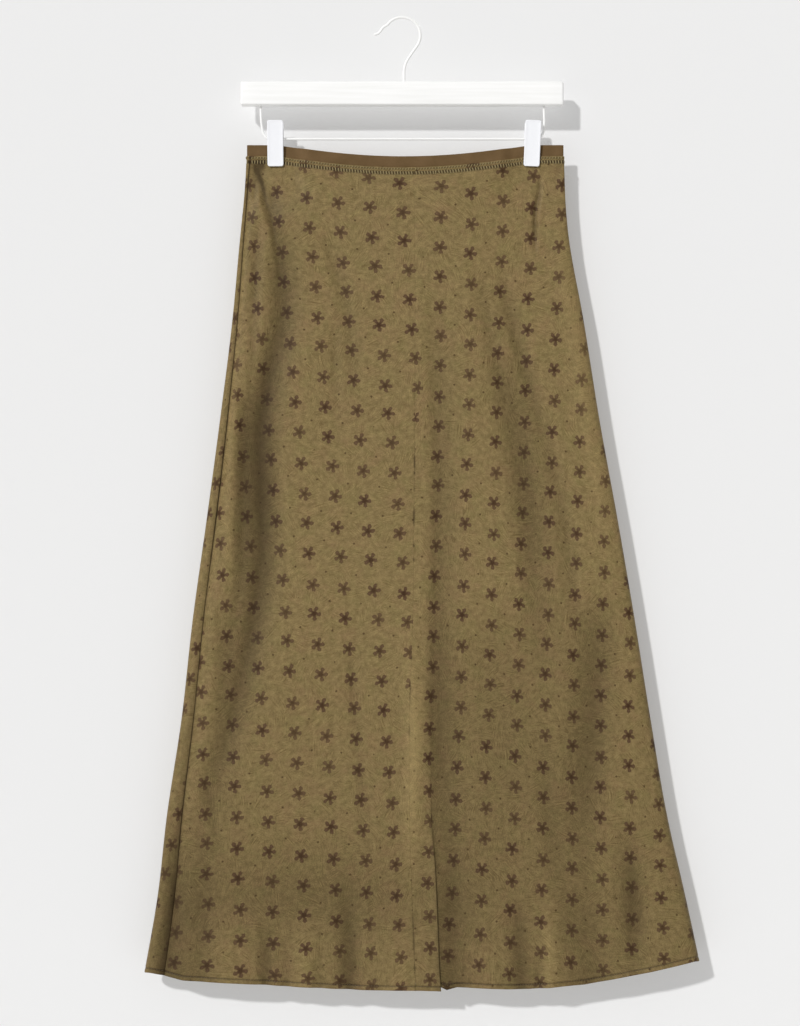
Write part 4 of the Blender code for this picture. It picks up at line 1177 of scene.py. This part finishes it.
# reads a grid of vectors at fractional rows and columns, by the shares of the four around each
def readGrid(grid, row, column):
    row = row + 0 * column
    r0 = np.clip(np.floor(row).astype(int), 0, grid.shape[0] - 2)
    c0 = np.clip(np.floor(column).astype(int), 0, grid.shape[1] - 2)
    p, q = (row - r0)[:, None], (column - c0)[:, None]
    low = grid[r0, c0] * (1 - q) + grid[r0, c0 + 1] * q
    high = grid[r0 + 1, c0] * (1 - q) + grid[r0 + 1, c0 + 1] * q
    return low * (1 - p) + high * p


# fractional columns at even steps of pitch mm along a row of points, from offset mm
def evenColumns(row, pitch, offset):
    length = np.hstack([0, np.cumsum(np.linalg.norm(np.diff(row, axis=0), axis=1))]) / mm
    places = np.arange(offset, length[-1] - threadSizes["tail"], pitch)
    return np.interp(places, length, np.arange(len(row)))


# the stitches along one panel, whose finished grid is points: its plan turns six columns in at either
# edge, two rows in at the top and six up at the hem
def stitchPanel(name, points):
    s = threadSizes
    inside, normals = points[:, 6:-6], gridNormals(points)[:, 6:-6]
    last = inside.shape[1] - 1.01

    # stitches from the columns of one row to the shifted columns of another, standing off the cloth
    def sew(kind, topRow, endRow, columns, shifted, off, thick, lift, material):
        starts, ends = readGrid(inside, topRow, columns), readGrid(inside, endRow, shifted)
        out = unit(readGrid(normals, (topRow + endRow) / 2, columns))
        starts, ends = starts + out * off * mm, ends + out * off * mm
        stitches = makeStitches(name + kind, starts, ends, out, thick * mm, lift * mm, material)
        return stitches

    made = []
    for kind, (top, end, lean, thick, off) in stitchKinds.items():
        topRow, endRow = 1 + np.interp((top, end), topSteps / mm, np.arange(len(topSteps)))
        row = inside[int(round(topRow))]
        columns = evenColumns(row, s["pitch"], s["start"])
        perColumn = np.linalg.norm(np.diff(row, axis=0), axis=1).mean() / mm
        shifted = np.clip(columns + lean / perColumn, 0, last)
        made.append(sew(kind, topRow, endRow, columns, shifted, off, thick, s["archHigh"], paleThread))
    hemRow = len(points) - 1 - 6 - 9  # the base row 5 mm above the hem
    row = inside[hemRow]
    columns = evenColumns(row, s["hemPitch"], s["hemStart"])
    steps = np.linalg.norm(np.diff(row, axis=0), axis=1) / mm
    ahead = np.clip(columns + s["hemLength"] / np.interp(columns, np.arange(len(steps)), steps), 0, last)
    off, thick, arch = s["hemOff"], s["hemThick"], s["hemArch"]
    made.append(sew("Hem", hemRow, hemRow, columns, ahead, off, thick, arch, darkThread))
    return made


leftStitches = stitchPanel("stitchFrontLeft", leftPoints)
rightStitches = stitchPanel("stitchFrontRight", rightPoints)
backStitches = stitchPanel("stitchBack", backPoints)
print("stitches made")


# the bar, the hook and the bent wire below, in mm. The wires' legs and tip are points (x, z)
hangerSizes = {
    "barLength": 354.8, "barDepth": 15.0, "barHeight": 26.4, "barTop": -69.7, "barRound": 2.4,
    "hookWire": 3.2, "hookRadius": 20.0, "hookTurn": 35.0, "hookStart": 153.0, "hookLead": 0.62,
    "shankX": 2.1, "shankIn": 11.7,
    "tip": ((-29.4, -17.4), (-27.6, -16.6), (-26.0, -15.9), (-23.6, -13.4), (-21.8, -10.6)),
    "clipWire": 2.6, "wireZ": -132.5, "wireEnds": (-144.0, 146.0),
    "leftLeg": (
        (-155.6, -84.5), (-155.6, -97.0), (-155.2, -108.0), (-154.4, -118.0), (-152.8, -125.5),
        (-149.6, -130.6), (-145.0, -132.4),
    ),
    "rightLeg": (
        (155.6, -84.5), (155.9, -97.0), (156.3, -108.0), (156.2, -118.0), (154.8, -125.8),
        (151.4, -131.0), (147.0, -132.4),
    ),
}

# white satin lacquer over planed wood: even, with a faint grain along the bar
lacquer = twoToneMaterial(
    "satinWhiteLacquer",
    {"Base Color": linear("#F8F8F7"), "Roughness": 0.34, "Coat Weight": 0.25, "Coat Roughness": 0.25},
    ("#F8F8F7", "#F1F1EF"), {"Scale": 1.0, "Detail": 4.0, "Distortion": 0.3}, (0.35, 0.7),
    bump=(0.12, 0.0003), roughness=(0.30, 0.40), stretch=(12.0, 260.0, 260.0),
)
# white powder coat on steel wire: soft gloss with a slight orange peel
powder = twoToneMaterial(
    "whitePowderCoat", {"Base Color": linear("#F4F4F3"), "Roughness": 0.36}, ("#F6F6F5", "#F0F0EE"),
    {"Scale": 40.0, "Detail": 2.0}, (0.0, 1.0), grain={"Scale": 600.0, "Detail": 2.0},
    bump=(0.12, 0.0002), roughness=(0.32, 0.42),
)
# glossy white ABS, injection moulded: clean, slightly cool, with a faint flow texture
plastic = twoToneMaterial(
    "mouldedWhitePlastic", {"Base Color": linear("#F1F2F5"), "Roughness": 0.22, "IOR": 1.53},
    ("#F3F4F7", "#EEEFF3"), {"Scale": 180.0, "Detail": 3.0}, (0.0, 1.0),
    bump=(0.05, 0.0002), roughness=(0.18, 0.27), stretch=(1.0, 1.0, 0.35),
)
# drawn spring steel, bright, with fine lines along the wire
steel = twoToneMaterial(
    "springSteel", {"Base Color": linear("#B9BBBE"), "Metallic": 1.0, "Roughness": 0.3},
    ("#C2C4C7", "#A9ABAE"), {"Scale": 900.0, "Detail": 2.0}, (0.0, 1.0), roughness=(0.24, 0.38),
)


# angles round a rounded rectangle, four corners of steps + 1 points each, and each point's signs
def cornerAngles(steps):
    corner = np.linspace(0, np.pi / 2, steps + 1)
    angles = np.hstack([corner + k * np.pi / 2 for k in range(4)])
    return angles, np.repeat([1, -1, -1, 1], steps + 1), np.repeat([1, 1, -1, -1], steps + 1)


# a rounded slab swept along X: each ring is a rounded rectangle in (y, z), drawn in by
# r - sqrt(r^2 - (r - d)^2) at a distance d from either end; returns [rings, points, 3]
def roundedSlab(low, high, rounding, arcSteps, lengthSteps):
    low, high = np.array(low, float), np.array(high, float)
    lead = rounding * (1 - np.cos(np.linspace(0, np.pi / 2, arcSteps + 1)))
    middle = np.linspace(low[0] + rounding, high[0] - rounding, lengthSteps + 1)[1:-1]
    stations = np.hstack([low[0] + lead, middle, high[0] - lead[::-1]])
    fromEnd = np.minimum(stations - low[0], high[0] - stations).clip(0, rounding)
    inset = rounding - np.sqrt(np.clip(rounding**2 - (rounding - fromEnd) ** 2, 0, None))
    angles, signY, signZ = cornerAngles(arcSteps)
    centre, half = (low[1:] + high[1:]) / 2, (high[1:] - low[1:]) / 2
    r = np.maximum(rounding - inset, rounding * 0.02)[:, None]
    y = centre[0] + signY * (half[0] - rounding) + r * np.cos(angles)
    z = centre[1] + signZ * (half[1] - rounding) + r * np.sin(angles)
    return np.stack([stations[:, None] + 0 * y, y, z], -1)


# a slab from its middle and its half sizes in mm
def slabAt(middle, half, rounding, arcSteps, lengthSteps):
    middle, half = np.array(middle, float), np.array(half, float)
    return roundedSlab((middle - half) * mm, (middle + half) * mm, rounding * mm, arcSteps, lengthSteps)


# one mesh from several sets of rings, each closed round and capped at both ends
def ringsMesh(name, sets, material, node):
    faces, start = [], 0
    for rings in sets:
        faces += tubeFaces(*rings.shape[:2], start)
        start += rings.shape[0] * rings.shape[1]
    thing = putMesh(name, np.vstack([rings.reshape(-1, 3) for rings in sets]), faces, [material])
    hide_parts(node)
    return thing


# the bar: one rounded slab below its top
def makeBar():
    h = hangerSizes
    half = np.array((h["barLength"], h["barDepth"], h["barHeight"])) / 2
    rings = slabAt((0, 0, h["barTop"] - half[2]), half, h["barRound"], 6, 24)
    return ringsMesh("woodenBar", [rings], lacquer, "hanger_bar")


# points of an arc in the hanger's plane, from start to end degrees
def arcPoints(centre, radius, start, end, count):
    a = np.radians(np.linspace(start, end, count))
    return np.stack([centre[0] + radius * np.cos(a), centre[1] + radius * np.sin(a)], 1)


# a smooth line through knots (x, z): Hermite curves over the knots' own spacing
def smoothLine(knots, count):
    knots = np.array(knots, float)
    s = np.hstack([0, np.cumsum(np.linalg.norm(np.diff(knots, axis=0), axis=1))])
    at = np.linspace(0, s[-1], count)
    return np.stack([smoothRead(s, knots[:, 0], at), smoothRead(s, knots[:, 1], at)], 1)


# a wire along flat lines (x, z) in mm, lifted into the hanger's plane
def makeWire(name, lines, thick, sides, node):
    line = np.vstack(lines)
    path = np.stack([line[:, 0], 0 * line[:, 0], line[:, 1]], 1) * mm
    wire = ringsMesh(name, [wireRings(path, thick / 2 * mm, sides, (0, 1, 0))], powder, node)
    wire.visible_shadow = False  # the faint shadow that so thin a wire throws is left out
    return wire


# the hook: turned-out tip, one arc over the origin, a straight lead, a second arc into the shank
def makeHook():
    h = hangerSizes
    centre = (0.0, h["hookWire"] / 2 - h["hookRadius"])
    bowl = arcPoints(centre, h["hookRadius"], h["hookStart"], -h["hookTurn"], 60)
    turn = math.radians(h["hookTurn"])
    lead = h["hookLead"] * (bowl[-1, 0] - h["shankX"])
    lineEnd = (bowl[-1, 0] - lead, bowl[-1, 1] - lead / math.tan(turn))
    radius = (lineEnd[0] - h["shankX"]) / (1 - math.cos(turn))
    neckCentre = (h["shankX"] + radius, lineEnd[1] - radius * math.sin(turn))
    neck = arcPoints(neckCentre, radius, 180 - h["hookTurn"], 180, 20)
    shank = np.array([(h["shankX"], z) for z in np.linspace(neck[-1, 1] - 1, h["barTop"] - h["shankIn"], 6)])
    tip = smoothLine([*h["tip"], bowl[3]], 22)
    return makeWire("wireHook", [tip, bowl[4:], neck, shank], h["hookWire"], 20, "hanger_hook")


# the bent wire: a leg from the bar at either end, and a straight run between them
def makeClipWire():
    h = hangerSizes
    left, right = smoothLine(h["leftLeg"], 30), smoothLine(h["rightLeg"], 30)
    middle = np.stack([np.linspace(*h["wireEnds"], 60), np.full(60, h["wireZ"])], 1)
    return makeWire("clipWireBent", [left, middle, right[::-1]], h["clipWire"], 18, "clip_wire")


# a clip's jaws and spring, in mm and degrees: the plate with its raised rim, the ears about the wire,
# the teeth inside the lower edge, and the coil with its two legs
jawSizes = {
    "width": 17.6, "above": 20.4, "below": 30.0, "thick": 2.2, "corner": 2.4, "reach": 4.7, "angle": 5.0,
    "rim": 1.5, "dish": 0.28, "edge": 0.7, "middle": 6.0, "leastCorner": 0.3,
    "earThick": 1.5, "earFront": 6.6, "earBack": 4.7, "earHigh": 8.0, "earOver": 3.4, "earIn": 0.4,
    "earRound": 0.35,
    "teeth": 5, "toothPitch": 1.5, "toothStart": 1.6, "toothInset": 1.6, "toothHigh": 0.8, "toothOut": 0.32,
    "toothIn": 0.3, "toothRound": 0.28,
    "springRadius": 2.35, "springWire": 0.8, "springTurns": 6.5, "springLength": 5.6,
    "springLeg": (3.9, 12.0),
}


# one jaw's plate: a disc of rings from the middle of the outer face over a raised rim and a rounded
# edge to the middle of the inner face; each ring is a rounded rectangle (x, z) drawn in by a distance.
# outward is -1 for the front jaw, whose rings run the other way so that its faces point outwards
def jawPlate(outward):
    j = jawSizes
    e, rim, outer = j["edge"], j["rim"], j["thick"]
    dished = [(j["middle"], 1.0), (rim + 1.4, 1.0), (rim + 0.8, 0.75), (rim + 0.2, 0.15), (rim - 0.2, 0.0)]
    edge = np.radians(np.linspace(0, 90, 5))
    profile = [(inset, outer - j["dish"] * share) for inset, share in dished]
    profile += [(e - e * math.sin(a), outer - e + e * math.cos(a)) for a in edge]
    profile += [(e - e * math.cos(a), e - e * math.sin(a)) for a in edge]
    inset, y = np.array(profile + [(j["middle"], 0.0)]).T[:, :, None]
    angles, signX, signZ = cornerAngles(6)
    halfX, halfZ, midZ = j["width"] / 2, (j["above"] + j["below"]) / 2, (j["above"] - j["below"]) / 2
    r = np.maximum(j["corner"] - inset, j["leastCorner"])
    x = signX * (halfX - inset - r) + r * np.cos(angles)
    z = midZ + signZ * (halfZ - inset - r) + r * np.sin(angles)
    rings = np.stack([x, outward * (j["reach"] + y) + 0 * x, z], -1) * mm
    return rings[:, ::-1] if outward < 0 else rings


# turns points about X by tilt, then about Y by lean (degrees), and moves them to the clip's place
def placeClip(points, tilt, lean, x):
    a, b = math.radians(tilt), math.radians(lean)
    turnX = np.array([(1, 0, 0), (0, math.cos(a), -math.sin(a)), (0, math.sin(a), math.cos(a))])
    turnY = np.array([(math.cos(b), 0, math.sin(b)), (0, 1, 0), (-math.sin(b), 0, math.cos(b))])
    return points @ (turnY @ turnX).T + np.array((x, 0, hangerSizes["wireZ"])) * mm


# one jaw: its plate, two ears that reach past the wire, and a row of teeth
def makeJaw(name, side, outward, earX, x, lean):
    j = jawSizes
    inner, wide = j["reach"] + j["earIn"], j["earThick"]
    earMiddle, earHalf = outward * (inner - j["earOver"]) / 2, (inner + j["earOver"]) / 2
    sets = [jawPlate(outward)]
    for sign in (-1, 1):
        half = (wide / 2, earHalf, j["earHigh"] / 2)
        sets.append(slabAt((sign * earX, earMiddle, 0), half, j["earRound"], 3, 2))
    toothMiddle = outward * (j["reach"] + (j["toothIn"] - j["toothOut"]) / 2)
    half = (j["width"] / 2 - j["toothInset"], (j["toothIn"] + j["toothOut"]) / 2, j["toothHigh"] / 2)
    for k in range(j["teeth"]):
        z = -j["below"] + j["toothStart"] + j["toothPitch"] * k
        sets.append(slabAt((0, toothMiddle, z), half, j["toothRound"], 3, 2))
    sets = [placeClip(rings, -outward * j["angle"], lean, x) for rings in sets]
    ringsMesh("jaw" + name + side.title(), sets, plastic, f"clip_{name.lower()}_{side}")


# the spring: a coil about the clip wire with a straight leg up inside each jaw
def makeSpring(name, x, lean):
    j = jawSizes
    turns = np.linspace(0, j["springTurns"] * 2 * np.pi, int(j["springTurns"] * 22))
    coilX = (turns / turns[-1] - 0.5) * j["springLength"]
    coil = np.stack([coilX, j["springRadius"] * np.cos(turns), j["springRadius"] * np.sin(turns)], 1)
    s = np.linspace(1, 0, 8)[:-1, None]
    legY, legZ = j["springLeg"]
    first, last = ((end[0], y, legZ) * s + end * (1 - s) for end, y in ((coil[0], -legY), (coil[-1], legY)))
    path = np.vstack([first, coil, last[::-1]]) * mm
    along = unit(np.gradient(path, axis=0))
    rings = ringsAround(path, along, j["springWire"] / 2 * mm, 8, unit(np.cross(along, (1.0, 0.02, 0.03))))
    sets = [placeClip(rings, 0, lean, x)]
    ringsMesh("spring" + name, sets, steel, f"clip_{name.lower()}_spring")


makeBar()
makeHook()
makeClipWire()
for name, (x, lean) in clipPlaces.items():
    makeJaw(name, "front", -1, jawSizes["earFront"], x, lean)
    makeJaw(name, "back", 1, jawSizes["earBack"], x, lean)
    makeSpring(name, x, lean)
print("hanger made")
